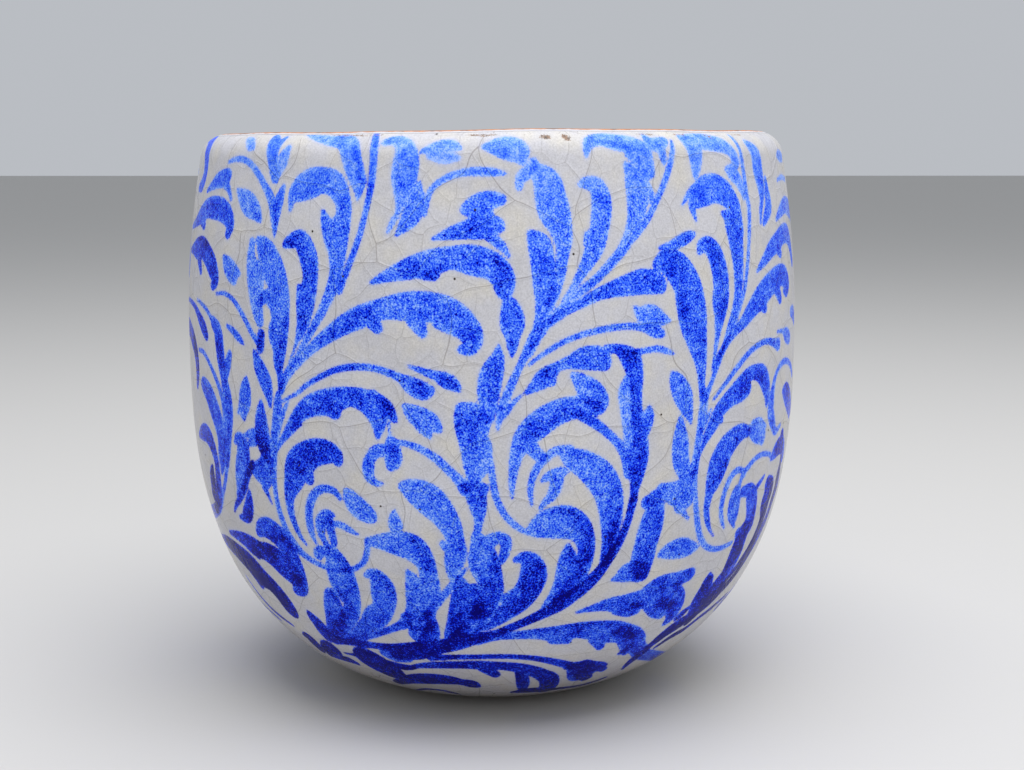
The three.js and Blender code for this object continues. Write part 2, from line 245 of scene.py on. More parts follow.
# The spray in the middle, with its spiral
MIDDLE = [
    (0.45, [(8.5, 197.9, 4), (7, 193.4, 4.5), (5.6, 188.3, 3.2), (4.5, 183.3, 2.4), (3.3, 177.8, 2.8),
        (2.3, 172.3, 3), (1.5, 167.8, 3), (1, 163.3, 2), (0.8, 160.3, 0.8)]),
    (0.5, [(4.5, 172.3, 0.8), (3.3, 169.8, 1.6), (2.1, 166.3, 2), (1.3, 163.8, 1)]),
    (0.45, [(6.2, 228.9, 2.5), (7.6, 224.9, 8), (8.2, 218.4, 8.5), (8.5, 211.4, 8.5), (8.3, 204.4, 6),
        (7.6, 197.9, 4), (6.8, 192.4, 4), (5.8, 187.3, 3)]),
    (0.38, [(7, 253.7, 1.5), (7.4, 250.3, 4.9), (9.1, 246, 9.7), (9.6, 241.2, 11.2), (10.2, 236.4, 11.4),
        (11.1, 231.4, 8.5), (11.6, 226.4, 6.3), (11.5, 221.4, 4), (11, 215.4, 4), (10, 208.4, 4),
        (9, 202.4, 2.5)]),
    (0.35, [(4.4, 244.6, 2.4), (4.8, 247.9, 3.9), (6.1, 249.8, 4.4), (6.7, 252.7, 3)]),
    (0.35, [(-1.5, 258.7, 1.5), (0.8, 258.7, 6.3), (2.8, 258.2, 9.2), (4.4, 256.7, 7.8), (5, 253.3, 3)]),
    (0.32, [(-11.8, 257.5, 1.5), (-8.9, 258.6, 5.9), (-6.9, 259.4, 4.9), (-5.4, 258.4, 1.5)]),
    (0.25, [(-10.6, 255.7, 2), (-8.1, 255, 4), (-5.7, 254.9, 2)]),
    (0.35, [(-18.6, 261.1, 2.9), (-17, 262, 4.3), (-15.3, 260.1, 6.3), (-14.5, 255.7, 8.9),
        (-14.7, 250.2, 10), (-14.9, 244.7, 7.5), (-15.2, 240.1, 4), (-15.6, 236.1, 2), (-16.5, 232.6, 2),
        (-17.3, 228.9, 1)]),
    (0.45, [(-12.1, 246.7, 1), (-12.4, 242.7, 4.5), (-12.7, 238.2, 7), (-13.5, 234.1, 6.5),
        (-14.8, 230.6, 3.5), (-15.8, 228.1, 1)]),
    (0.42, [(-11, 235.2, 1), (-10.8, 239.2, 1.8), (-10.3, 243.2, 2), (-8.9, 246.4, 2), (-6.6, 248.9, 2.3),
        (-4.1, 250, 2.7), (-1.6, 250, 3), (0.4, 249.7, 2.6), (2.1, 249.1, 1)]),
    (0.5, [(-4.3, 237.2, 4), (-2.6, 238.7, 6.9), (-0.6, 240.2, 6.4), (1.4, 240.5, 3.9)], [(-3.1, 236.3, 4),
        (-1.1, 235.3, 6)], [(-9.6, 227, 1), (-7, 228.7, 4), (-4.1, 230.2, 6.5), (-1.6, 231.3, 8.5),
        (0.5, 231.8, 6), (1.4, 230.8, 3)], [(-0.6, 227.8, 3), (0.9, 225.8, 3.5), (2.1, 223.1, 2),
        (2.7, 220.8, 1)]),
    (0.5, [(-19.9, 211.4, 1.5), (-16.9, 214.1, 4.5), (-13.5, 216.6, 7.5), (-10, 218.7, 9),
        (-6.5, 220.5, 8), (-3, 219.6, 10.5), (0, 217.6, 9.5), (1.6, 213.8, 8.5), (1.9, 209.8, 6.5),
        (1.5, 207.6, 2.5)], [(-11, 216.2, 7), (-9.5, 214.7, 4.5)]),
    (0.6, [(2.5, 205.8, 3.5), (3, 202.3, 7), (3.2, 197.8, 8.5), (3.2, 193.8, 5.5), (3.2, 189.8, 3.5),
        (3.1, 186.3, 1)]),
    (0.4, [(14.6, 245.4, 1.5), (15.8, 245.9, 3.9), (17.6, 244.7, 5.9), (18.3, 240.4, 7.4),
        (18.2, 235, 7.5), (17.7, 229.5, 7), (16.9, 224, 7), (15.7, 218.9, 5), (14.4, 214.4, 3.5),
        (12.9, 209.4, 2), (11.4, 205.4, 1.2)], [(15.6, 228.4, 2), (15.9, 225.4, 4)]),
    (0.4, [(16, 254.8, 1), (16.2, 257.7, 2.9), (17.1, 260.6, 4.8), (19.1, 261.6, 5.7), (21.6, 260.7, 7.2),
        (24.6, 259.5, 6.8), (26.7, 256.9, 5.9), (27.5, 253, 4.5), (27.8, 249.1, 3.9)], [(23.7, 255.9, 3),
        (25.7, 253.5, 4), (27.3, 249.6, 3.9)]),
    (0.35, [(23, 252.3, 1.5), (24.2, 249.6, 5.9), (25.1, 246.2, 9.8), (25, 241.4, 8.8), (24.7, 236.5, 7.4),
        (24, 231.5, 5.7), (22.9, 226.5, 4.4), (21.2, 221.5, 3.5), (18.9, 216.5, 3.2), (16.9, 212.5, 3),
        (14.9, 209.4, 2.8), (12.4, 205.4, 2.5), (10.5, 201.4, 3), (8.5, 196.9, 3)], [(27.4, 244.3, 2),
        (27.7, 241.4, 2.5), (27.3, 239, 1)]),
    (0.5, [(22.4, 223.5, 1.2), (24.9, 229, 2.2), (26.9, 234.1, 2.4), (28.8, 240, 2.2), (30.5, 245.7, 2.3),
        (31.7, 250.6, 2.4), (32.7, 256, 2), (33.2, 260.7, 1.1)]),
    (0.45, [(27.8, 263.4, 1.8), (28.5, 260.2, 4.3), (30, 259.3, 5.8), (31.5, 260.7, 3.8)],
        [(30.3, 257.4, 3.9), (30.7, 254, 2.5), (30.7, 252, 1)]),
    (0.6, [(9.5, 198.4, 3), (11.9, 201.9, 3), (14.9, 204.9, 3.5), (17.9, 207.8, 4.5), (21.9, 210, 7),
        (25.4, 211.3, 9), (27.9, 210.5, 7.5), (28.9, 208.6, 3.5)]),
    (0.5, [(5.8, 183.3, 1), (8.5, 187.4, 1.6), (11.5, 191.1, 1.8), (15, 193.7, 2), (19, 195.3, 2.2),
        (22.5, 195.8, 2.2), (25.5, 195, 3), (27.5, 193.5, 4.5), (28.8, 192.5, 3)]),
    (0.42, [(23.7, 202.5, 1), (24.9, 200, 4.5), (26.7, 199.3, 7.5), (28.8, 197.8, 4.5),
        (30.3, 196.9, 1.5)]),
    (0.6, [(5.3, 173.3, 1.2), (6.9, 175.8, 4), (8.5, 178.8, 6.5), (10.3, 182.2, 3.5), (12.5, 183.9, 4.5),
        (15, 185.1, 8), (17.2, 184.9, 8.5), (18.2, 183.4, 6)], [(8.1, 177.8, 5), (9.6, 177.1, 3)]),
    (0.58, [(18.8, 188.4, 2.5), (21, 187.5, 4), (23, 184, 7.5), (23.8, 178.5, 6.5), (24, 172.4, 5),
        (24.1, 166.4, 5), (24.5, 160.4, 5), (25, 154.4, 6.6), (25, 148.4, 7.6), (24.8, 142.4, 6.1),
        (24.5, 136.4, 3.6), (24.4, 131.9, 3.1)], [(26.6, 165.9, 2), (26.4, 162.4, 5), (25.7, 157.4, 4.5)]),
    (0.5, [(22, 186.7, 2), (25, 186.7, 2), (28, 187.2, 2.2), (30, 186, 2), (31.3, 185, 0.8)]),
    (0.25, [(22.6, 177.4, 3), (22.1, 172.4, 5.5), (22.6, 166.4, 6), (23, 160.4, 5.5), (23.2, 154.4, 4.5),
        (23.5, 148.4, 4.6)]),
    (0.4, [(13, 179.4, 2), (14.6, 176.4, 6), (16.1, 172.9, 9), (17.4, 169.9, 7.5), (17.6, 166.9, 4)]),
    (0.55, [(1, 190.1, 1), (0.8, 185.8, 4.5), (-0.1, 180.3, 8), (-0.6, 174.8, 8), (-0.7, 169.3, 6),
        (-0.6, 164.2, 3.5)]),
    (0.45, [(-4.7, 167.2, 6), (-3.3, 163.2, 12.5), (-3.4, 158.2, 10), (-2.6, 153.5, 11),
        (-2.6, 148.2, 9.5), (-2.9, 143.7, 5.6), (-2.8, 140.2, 4.1)]),
    (0.62, [(-4.8, 139.7, 4.1), (-3.1, 138.7, 7.1), (-1.6, 139, 4.1)], [(-2.8, 137.2, 7.6),
        (-2.4, 132.3, 6.1), (-2.3, 127.3, 3.3), (-2.5, 123.9, 2.7)]),
    (0.5, [(-2.7, 121.4, 3.7), (-1.9, 116, 8.6), (-1.5, 110.2, 11.6), (-0.6, 104.4, 10.1),
        (-0.3, 98.7, 9.6), (-0.9, 93.1, 9.1), (-2.3, 87.5, 9.1), (-4.1, 81.9, 8), (-6.1, 76.8, 8),
        (-8.4, 72.6, 8)], [(-0.2, 119.5, 5.2), (1.1, 120.7, 4.2), (2.2, 119, 4.2), (2.1, 115.1, 3.7),
        (1.5, 111.7, 3.2)]),
    (0.65, [(-6, 103.9, 2.7), (-5.5, 99.2, 7.2), (-5.6, 93.5, 9.6), (-6.1, 87.9, 10), (-6.7, 82.3, 10),
        (-7.5, 76.8, 9.9)], [(-3.5, 99.2, 5.2), (-3.5, 94.5, 8.1), (-3.9, 89.8, 10)]),
    (0.5, [(-15.8, 155.4, 1.5), (-13.3, 154.4, 2.2), (-10.8, 152, 2.6), (-8.8, 149, 3), (-7.1, 145.5, 3.1),
        (-5.6, 142.2, 3.6), (-4.3, 138.7, 5.1)]),
    (0.5, [(-17, 162.1, 0.8), (-16.9, 157.6, 1.2), (-16.6, 154.1, 5), (-16.4, 149.1, 6.5),
        (-16.9, 146.1, 3.1)], [(-17.2, 152.1, 4), (-19.2, 151.6, 4.5), (-20.5, 148.6, 4),
        (-20.9, 145.1, 4.6), (-20.7, 141.6, 3.6), (-19.5, 139.8, 2.3), (-18.6, 139.7, 1.1)]),
    (0.45, [(-14.9, 139.2, 3.6), (-13, 137.7, 8.6), (-10.7, 134.7, 11.6), (-8.7, 130.3, 10.1),
        (-7.1, 124.8, 8.1), (-6.3, 119, 6.6), (-6.4, 113.6, 8.1), (-6.9, 108.7, 6.2), (-7.3, 103.9, 1.8)],
        [(-7.9, 117, 4.2), (-8.6, 118, 2.2)]),
    (0.45, [(-21.9, 117, 3.2), (-19.5, 117.2, 6.1), (-16.5, 117, 9.6), (-13.8, 115.5, 10.6),
        (-12, 110.7, 8.1), (-11.4, 104.9, 7.2), (-11.5, 99.2, 8.6), (-12.2, 93.5, 8.6), (-13, 87.8, 9.1),
        (-14, 82.2, 10), (-15, 76.6, 9.9)], [(-15.2, 105.9, 1.7), (-14.5, 102, 5.7), (-14.5, 96.4, 7.2),
        (-14.8, 90.6, 7.1), (-15.3, 85.5, 8.1), (-16.1, 81.3, 7.1)]),
    (0.35, [(-16.6, 129.7, 1.1), (-16.8, 127.3, 3.6), (-16.6, 124.3, 5.6)]),
    (0.45, [(-4.8, 107.8, 1.2), (-6, 104.4, 2.2), (-7.9, 99.2, 2.8), (-9.8, 94, 3.2), (-11.6, 89.2, 3.2),
        (-13.8, 84.1, 3.2)]),
    (0.5, [(-0.2, 150.2, 1), (-0.1, 145.2, 2.1), (0.2, 139.3, 2.3), (0.8, 134.3, 2.4), (2, 129.3, 2.3),
        (3.4, 125.9, 2.3), (4.7, 123.7, 2), (6.2, 122.2, 2), (7.7, 121, 1.7)]),
    (0.45, [(3.2, 135.8, 0.9), (3.2, 141.3, 2.3), (3.5, 147.3, 3.6), (4.2, 153.3, 5.5), (5.6, 158.3, 8.5),
        (7.6, 162.3, 9.5), (9.6, 165.3, 9), (12.1, 167.3, 8.5), (14.6, 167.9, 7.5), (16.6, 167.4, 6)],
        [(5.6, 155.3, 5), (6.9, 152.3, 4.5), (8, 150.1, 3.5), (8.8, 150.3, 1.5)]),
    (0.55, [(14.6, 164.9, 4), (17.1, 161.4, 3.5), (19.1, 157.9, 3), (21.2, 153.4, 3.2), (22.5, 148.4, 3.6),
        (23.4, 142.9, 5.1)]),
    (0.45, [(6.5, 132.8, 0.9), (6.2, 137.3, 1.9), (6.4, 141.8, 2.3), (7.2, 146.3, 2.7), (8.7, 150.1, 3),
        (10.6, 152.6, 3), (12.6, 152.3, 4)], [(11.9, 150.8, 4.1), (13.7, 148.8, 8.1), (15.8, 146.3, 10.1),
        (17.9, 142.3, 11.6), (19.5, 136.9, 11.1), (20.2, 131.4, 10.1), (20.5, 125.5, 8.6),
        (20.6, 119.6, 6.7), (20.3, 113.7, 4.7), (19.9, 108.8, 3.2)]),
    (0.45, [(8.2, 141.8, 1.6), (9.5, 143.6, 3.6), (11.2, 144.6, 3.6), (12.2, 144.8, 1.1)],
        [(10.7, 143.8, 4.6), (10.4, 139.3, 4.6), (9.7, 135.8, 3.6), (8.5, 133.3, 2.1), (8, 131.3, 1.6)]),
    (0.5, [(7, 124.4, 4.6), (9.2, 125.4, 10.6), (12, 125.9, 12.6), (14.5, 123.5, 10.1), (16, 118.6, 7.6),
        (16.4, 112.7, 6.7), (15.6, 106.9, 8.2), (14.4, 101.2, 9.6)], [(13, 116.6, 1.7), (13.1, 112.7, 5.7),
        (13.4, 107.9, 9.1), (13.4, 102.1, 10.1), (12.4, 96.4, 8.6), (10.3, 90.3, 5.2)]),
    (0.9, [(24.4, 132.4, 3.6), (24, 127.4, 3.2), (23.5, 122.5, 3.2), (22.5, 116.6, 3.7),
        (21.1, 110.8, 4.2), (19.6, 105.5, 4.7), (17.8, 100.7, 5.7), (15.5, 96.4, 6.2), (12.8, 92.2, 7.1),
        (9.9, 88, 5.2), (6.7, 84.3, 4.2), (3.3, 80.8, 3.8), (0.2, 77.6, 4.2), (-3.3, 75.5, 6.1),
        (-7, 72.7, 8), (-10.6, 69.9, 7.9)]),
    (0.65, [(4.1, 111.7, 2.7), (5.5, 112.5, 4.7), (6.8, 109.8, 8.1), (7.2, 104.9, 10.6), (6.5, 99.7, 10.6),
        (5, 94.5, 10.1), (3, 89.8, 8.1), (0.9, 85.2, 5.6), (-1, 81.9, 3.7), (-2.9, 80.1, 2.2)],
        [(3.5, 97.3, 3.7), (2.6, 94.5, 5.2)]),
]
# The spray right of the middle
RIGHT = [
    (0.6, [(28.4, 217.1, 5), (30.1, 218.1, 9), (32.2, 215.6, 11.5), (34.1, 209.6, 12.5),
        (34.9, 203.1, 13.5), (35.4, 196.6, 13), (36, 191.1, 10.5), (36.7, 185.6, 7.8), (37.3, 179.5, 5),
        (37.5, 173.5, 3.2), (37.9, 166.5, 3)]),
    (0.5, [(28.7, 223, 1), (31.4, 224.1, 3), (33.4, 225.4, 4.5), (35.2, 226.9, 3.5), (36.4, 227.6, 1)]),
    (0.6, [(37.2, 221.1, 2.5), (37.9, 223.1, 5), (39.4, 223.1, 6.5), (40.9, 219.7, 8), (41.9, 213.7, 8.5),
        (42.2, 207.6, 8.5), (42.1, 201.6, 7.5), (41.5, 195.6, 5), (41.1, 190.6, 2.8), (40.6, 184.6, 1.6),
        (40.1, 178.6, 1.2)], [(40.5, 207.1, 1.5), (40.9, 202.6, 4.5), (41.2, 196.6, 3.5),
        (41.2, 191.6, 2)]),
    (0.5, [(36.1, 238.1, 3), (37.3, 240.1, 6.9), (39.3, 242.5, 10.3), (42.1, 243.5, 10.3),
        (44.8, 241.6, 9.4), (46.9, 237.7, 7.5), (47.7, 233.2, 6), (47.9, 227.7, 6)], [(43.3, 234.7, 1),
        (44.9, 233.2, 5), (46.4, 229.7, 10), (46.9, 222.7, 8.5), (47.1, 215.7, 6.5), (47, 209.7, 5.5),
        (46.7, 204.7, 4.5), (45.8, 198.7, 4), (44.4, 192.6, 3.5), (43.1, 186.6, 2.8), (41.6, 180.6, 2.2),
        (39.7, 172.5, 2), (38.5, 166.5, 2)], [(36.2, 237.1, 3), (36.9, 232.1, 1)], [(34.1, 238.1, 0.8),
        (35.3, 241, 2), (36.8, 243.4, 2.9)]),
    (0.45, [(50.4, 264.2, 1.4), (50.9, 256.4, 2), (51.2, 248.5, 2.3), (51.5, 240.7, 2.4),
        (51.7, 234.7, 2.5), (50.9, 224.7, 2), (50.1, 216.7, 2), (49.4, 210.7, 2), (48.6, 205.2, 1.8),
        (47.1, 199.2, 1.8), (45.2, 192.6, 1.8), (43.6, 187.1, 1.5)]),
    (0.32, [(35.8, 262.6, 2.8), (37.8, 258, 7.4), (37.9, 252.1, 5.4), (37.6, 248.3, 2.9)],
        [(37.4, 261.3, 5.8), (41.4, 261.1, 7.8), (45.5, 259.8, 6.9), (47.9, 256.9, 4.9), (48.9, 253, 5)],
        [(45.7, 250.4, 1.5), (47.5, 249, 5.9), (49.1, 246.1, 4.9), (50.1, 242.2, 3), (50.3, 239.2, 1)]),
    (0.6, [(40.3, 177.6, 2), (41.6, 182.1, 3), (43.6, 187.1, 3), (46, 191.1, 3.5), (48.5, 194.2, 5),
        (51, 198.2, 7), (54.4, 202.7, 9.5), (58.4, 206.7, 9.5), (62.9, 209.3, 8.5), (66.4, 208.3, 8.5),
        (68.2, 205.3, 6), (66.9, 202.3, 4), (65.2, 202.8, 2)], [(53.4, 201.2, 7), (55.8, 197.7, 3.5)],
        [(60.9, 205.7, 7), (62.9, 200.2, 4)]),
    (0.55, [(40.5, 166.5, 1), (43.2, 171.5, 1.8), (46.2, 176.6, 2.2), (50.1, 181.9, 2.2),
        (54.1, 184.6, 2.2), (57.2, 184.9, 2.4), (60.2, 183.6, 3.5), (62.1, 182.6, 5.1)]),
    (0.55, [(31, 178, 1.5), (32.1, 174.5, 6.5), (33.4, 169.5, 8.5), (34.5, 164, 5), (35.4, 158.9, 1)]),
    (0.5, [(33, 162, 1), (33.1, 157.4, 4.5), (33.3, 151.4, 7.6), (33.6, 145.4, 7.6), (34.6, 140.9, 6.6),
        (35.6, 137.4, 6.1)], [(29.7, 135.9, 3.1), (31.8, 133.9, 7.1), (33.8, 132.4, 10.1),
        (35.3, 130.9, 9.1), (36.2, 129, 2.2)], [(33.7, 126.5, 2.2), (35.2, 125, 2.2), (36.7, 122.1, 1.2)]),
    (0.45, [(38.4, 169.5, 3.5), (38.1, 163.5, 4.3), (37.6, 156.4, 3.4), (37.2, 149.4, 3.4),
        (36.9, 142.4, 3.7), (37.1, 136.4, 2.5), (37.7, 130, 2.4), (38.7, 122.6, 2.6), (39.8, 116.7, 2.7),
        (41.5, 111.4, 2.6), (43.8, 107.8, 2.3), (46.4, 106.1, 2.2), (49.1, 106, 2.2), (51.6, 106.7, 1.8)]),
    (0.45, [(40, 163, 0.8), (38.9, 159, 1.8), (38, 154.9, 1.5)]),
    (0.65, [(37.3, 144.4, 1.3), (38.3, 149.4, 2.3), (39.6, 153.9, 4.1), (40.8, 157.5, 5.6), (42.2, 162, 6),
        (44.8, 166, 7.1), (47.8, 168.5, 9.1), (49.5, 169, 7.1)], [(41.6, 159.5, 4), (42.7, 158.3, 2.5)],
        [(46.2, 170, 4), (49.7, 173.6, 5), (52.8, 174.1, 6.1), (55.3, 172.1, 8.1), (56.7, 168, 7.1),
        (57.3, 164, 4.6), (57.3, 160, 1.5)]),
    (0.65, [(44.5, 112.3, 0.8), (43, 115.5, 1.4), (41.9, 119.1, 2.6), (41, 124.5, 3.2), (41.2, 130.5, 4.5),
        (42.1, 136.4, 9.1), (43, 141.9, 11.1), (44.4, 146.9, 10.1), (46.4, 150.2, 8.6), (48.7, 152.1, 6.6),
        (51, 151.9, 4.1)]),
    (0.4, [(51.5, 152.4, 4.1), (54, 150.9, 8.7), (55.9, 148.9, 7.2), (56.6, 145.4, 1.6)],
        [(52.5, 154.4, 3.1), (55, 153.9, 4.1), (57.4, 151.9, 1.6)]),
    (0.5, [(47.3, 114.8, 1), (46.1, 118.2, 2), (45.2, 123.1, 2.5), (45.3, 128.5, 2.8), (46.2, 133.4, 2.9),
        (47.4, 136.4, 2.7), (48.9, 137.4, 2.5), (50.5, 136.4, 2.1), (51.2, 134.7, 1.6)]),
    (0.55, [(49.9, 131.4, 1.6), (50.6, 134.9, 2.6), (52.1, 137.4, 2.4), (54.4, 140, 2.1), (57.1, 140.9, 2),
        (60, 140.1, 1.9), (62.1, 138.3, 1.9)]),
    (0.6, [(50.1, 130.9, 1.6), (49.1, 128.5, 5.2), (48.6, 124.5, 5.7), (48.7, 120.1, 4.7),
        (49.6, 116.7, 2.7), (50.9, 113.8, 1.2)], [(50.1, 126.5, 3.2), (50.4, 121.1, 3.2),
        (50.6, 117.2, 2.2)]),
    (0.7, [(51.4, 128, 4.2), (53.9, 127.5, 6.2), (55.6, 123.5, 8.7), (56.7, 117.7, 8.6),
        (57.1, 111.9, 9.1)], [(53, 110.5, 4.2), (55, 107.2, 9.5), (55.5, 102, 11.4), (55.4, 96.1, 10.3),
        (54.7, 90.7, 7.8), (54.8, 85.6, 7.6)], [(57, 128, 2.7), (58.3, 129.7, 2.2), (59.6, 131.4, 1.2)]),
    (0.45, [(31.5, 108.9, 2.2), (33.5, 109.9, 6.7), (36, 110.2, 8.6), (38.2, 109.4, 6.7),
        (40.4, 109, 2.2)]),
    (0.55, [(28.8, 132.4, 6.1), (29, 128, 8.1), (28.6, 121.5, 10.6), (28.1, 114.7, 10.6),
        (27.9, 107.9, 10.6), (27.9, 102.7, 9.1)], [(28.7, 131.4, 6.1), (27.2, 130.9, 5.1)],
        [(27.4, 103.6, 9.1), (25.2, 103.1, 8.2), (23.5, 101.5, 3.7), (22.2, 100.6, 1.1)],
        [(26.9, 100.7, 4.2), (28.8, 100.8, 4.7)]),
]
# What shows at the left edge; its pigments are set deeper than the front's, partly as painted shade where
# the pot turns away
LEFT_EDGE = [
    (0.75, [(-79.3, 265.1, 4.6), (-73.2, 263.6, 5.6), (-69.9, 259.3, 6.7), (-68.4, 254.4, 6.9),
        (-68.2, 249.2, 6.1), (-69.7, 244.5, 6.1), (-72.7, 242.9, 3)]),
    (0.6, [(-65.1, 241.9, 1.5), (-62.2, 244.5, 4.1), (-59.3, 246.6, 6.6), (-56.3, 247.6, 7.1),
        (-54.9, 249.2, 3)], [(-56.8, 246.1, 5.1), (-54.8, 243.4, 3), (-53.3, 239.3, 1.5)]),
    (0.7, [(-76.6, 226.7, 1.5), (-71.5, 229.2, 3.9), (-67.5, 232.2, 6.9), (-63.6, 235.2, 7.9),
        (-59.7, 235.7, 8.9), (-56.7, 235.2, 8.9), (-54.3, 233.3, 7.9), (-52.8, 229.8, 5.5),
        (-53.4, 226.3, 4)], [(-66, 230.7, 5.9), (-64.7, 228.7, 3.9)]),
    (0.8, [(-75.4, 217.8, 1.9), (-71.4, 218.8, 4.9), (-67.8, 219.3, 8.7), (-64.3, 219.8, 8.8),
        (-61.4, 217.3, 8.8), (-58.9, 213.3, 8.8), (-57.4, 208.8, 5.9), (-58.4, 206.3, 3.9)],
        [(-66.2, 214.8, 4.8), (-64.9, 210.8, 2.9)]),
    (0.85, [(-79.3, 196.9, 1.4), (-75.2, 197.9, 1.7), (-71, 197.4, 2.1), (-67.9, 195.9, 2.9),
        (-65.4, 193, 4.3), (-63, 189.5, 5.8), (-61.4, 186.4, 3.9)]),
    (0.65, [(-66.9, 199.4, 1), (-64, 198.4, 1.5), (-61.1, 196.4, 1.9), (-59.2, 193.9, 2.1),
        (-57.8, 191.9, 4.9), (-56.3, 189.4, 6.4), (-55.7, 183.9, 6.9), (-55.2, 177.9, 5.9),
        (-54.4, 172, 4.9), (-53.5, 167, 5.9), (-53, 161, 6.4), (-53, 155, 5), (-53.5, 149, 3.5),
        (-54.2, 143.1, 2.6), (-55.4, 137.2, 2.3)], [(-52, 181.4, 3), (-52.9, 177, 4.9),
        (-54.1, 171, 3.9)]),
    (0.6, [(-66, 180, 1.4), (-63.1, 179.5, 1.9), (-60.2, 176, 2.1), (-57.8, 171.5, 2.4),
        (-55.9, 166.5, 2.6), (-54.9, 161, 2.4), (-54.7, 154, 2.4), (-54.6, 148, 2.4), (-55, 141.1, 2.4),
        (-56.1, 135.2, 2.4), (-57.8, 129.4, 2.3), (-59.8, 124.6, 2.3), (-61.7, 120, 2.4),
        (-64, 116.4, 2.6), (-66.9, 113.6, 2.5)]),
    (0.65, [(-64.9, 167.1, 2.9), (-63.5, 166.5, 6.8), (-61.2, 164, 8.8), (-59.1, 159, 9.8),
        (-57.3, 153, 8.9), (-56.6, 147.1, 7.9), (-57.2, 141.1, 6.9), (-57.8, 136.2, 4),
        (-58.4, 133.3, 1.6)]),
    (0.9, [(-79.3, 187, 6.7), (-74.2, 186, 7.7), (-70.1, 182, 7.7), (-68, 176, 6.2), (-67.7, 170, 4.8),
        (-68.5, 165.1, 2.9)]),
    (0.85, [(-70.9, 144.2, 1.9), (-67.9, 146.2, 5.7), (-64.8, 147.2, 7.7), (-62.5, 145.2, 7.8),
        (-60.9, 140.2, 5.9), (-60.5, 135.3, 5), (-61, 129.5, 5.9), (-62, 123.8, 6.7), (-63.8, 119.2, 5.2),
        (-67.1, 115, 5.1), (-72.2, 111.8, 5.7), (-77.4, 109.5, 4.8), (-82.8, 108.2, 4)]),
    (0.95, [(-63.1, 134.4, 2), (-64.2, 130.6, 5.8), (-64.9, 125.8, 6.3), (-66.1, 121, 4.4)]),
]
# What shows at the right edge; its pigments are set deeper than the front's, partly as painted shade where
# the pot turns away
RIGHT_EDGE = [
    (0.5, [(54.3, 260.3, 2.9), (56.5, 255.3, 7.9), (56.8, 249.4, 8.3), (57.3, 243.6, 5.9),
        (57.1, 238.7, 3.5), (56.2, 234.8, 2.5), (55.7, 230.3, 1.5)], [(59.7, 246.5, 1.9),
        (59.8, 241.7, 4.4), (59.9, 236.3, 6.5), (57.9, 231.8, 4), (56.9, 229.8, 2)]),
    (0.55, [(53.1, 212.2, 1.2), (55.9, 215.7, 4), (59.4, 219.8, 6.5), (62.9, 222.3, 7.5),
        (66.9, 224.8, 7.5), (70.9, 224.3, 8), (73.4, 219.8, 7), (74.9, 213.8, 6)], [(62.4, 220.8, 6),
        (64.2, 217.8, 4)]),
    (0.45, [(63.4, 230.8, 1.5), (66.8, 233.8, 4.5), (70.8, 235.8, 6.4), (75.9, 234.3, 8),
        (81.9, 231.8, 8)]),
    (0.4, [(68.8, 254.7, 1.9), (71.3, 254.7, 4.9), (74.4, 254.3, 3.9)]),
    (0.4, [(66.6, 245.5, 1), (70.6, 246.5, 1.9), (75.7, 245.5, 1.9)]),
    (0.5, [(61.6, 187.7, 1.2), (64.7, 187.2, 2), (67.3, 185.1, 6.1), (69.3, 183.6, 5.1)]),
    (0.5, [(71, 193.7, 4), (73.5, 192.7, 6), (75.6, 189.7, 5)]),
    (0.5, [(65.5, 149.8, 1.6), (62.6, 148.3, 3.1), (60.7, 152.4, 5.2), (59.4, 157.4, 6.1),
        (59.7, 163.5, 4.6), (60.5, 168.5, 2.9), (62.2, 172.6, 2.3), (65, 174.9, 2.4), (68.5, 174.5, 2.4),
        (72, 171.5, 2.6), (74.6, 167.5, 3.1)]),
    (0.75, [(66.1, 163.4, 3.1), (68.4, 161.9, 8.4), (71.4, 157.8, 9.4), (74.4, 153.3, 7.4)]),
    (0.7, [(61.8, 137.3, 1.6), (63.9, 139.8, 6.3), (67.2, 141.2, 7.9), (70.1, 139.2, 6.3),
        (71.5, 135.2, 5.2)]),
]
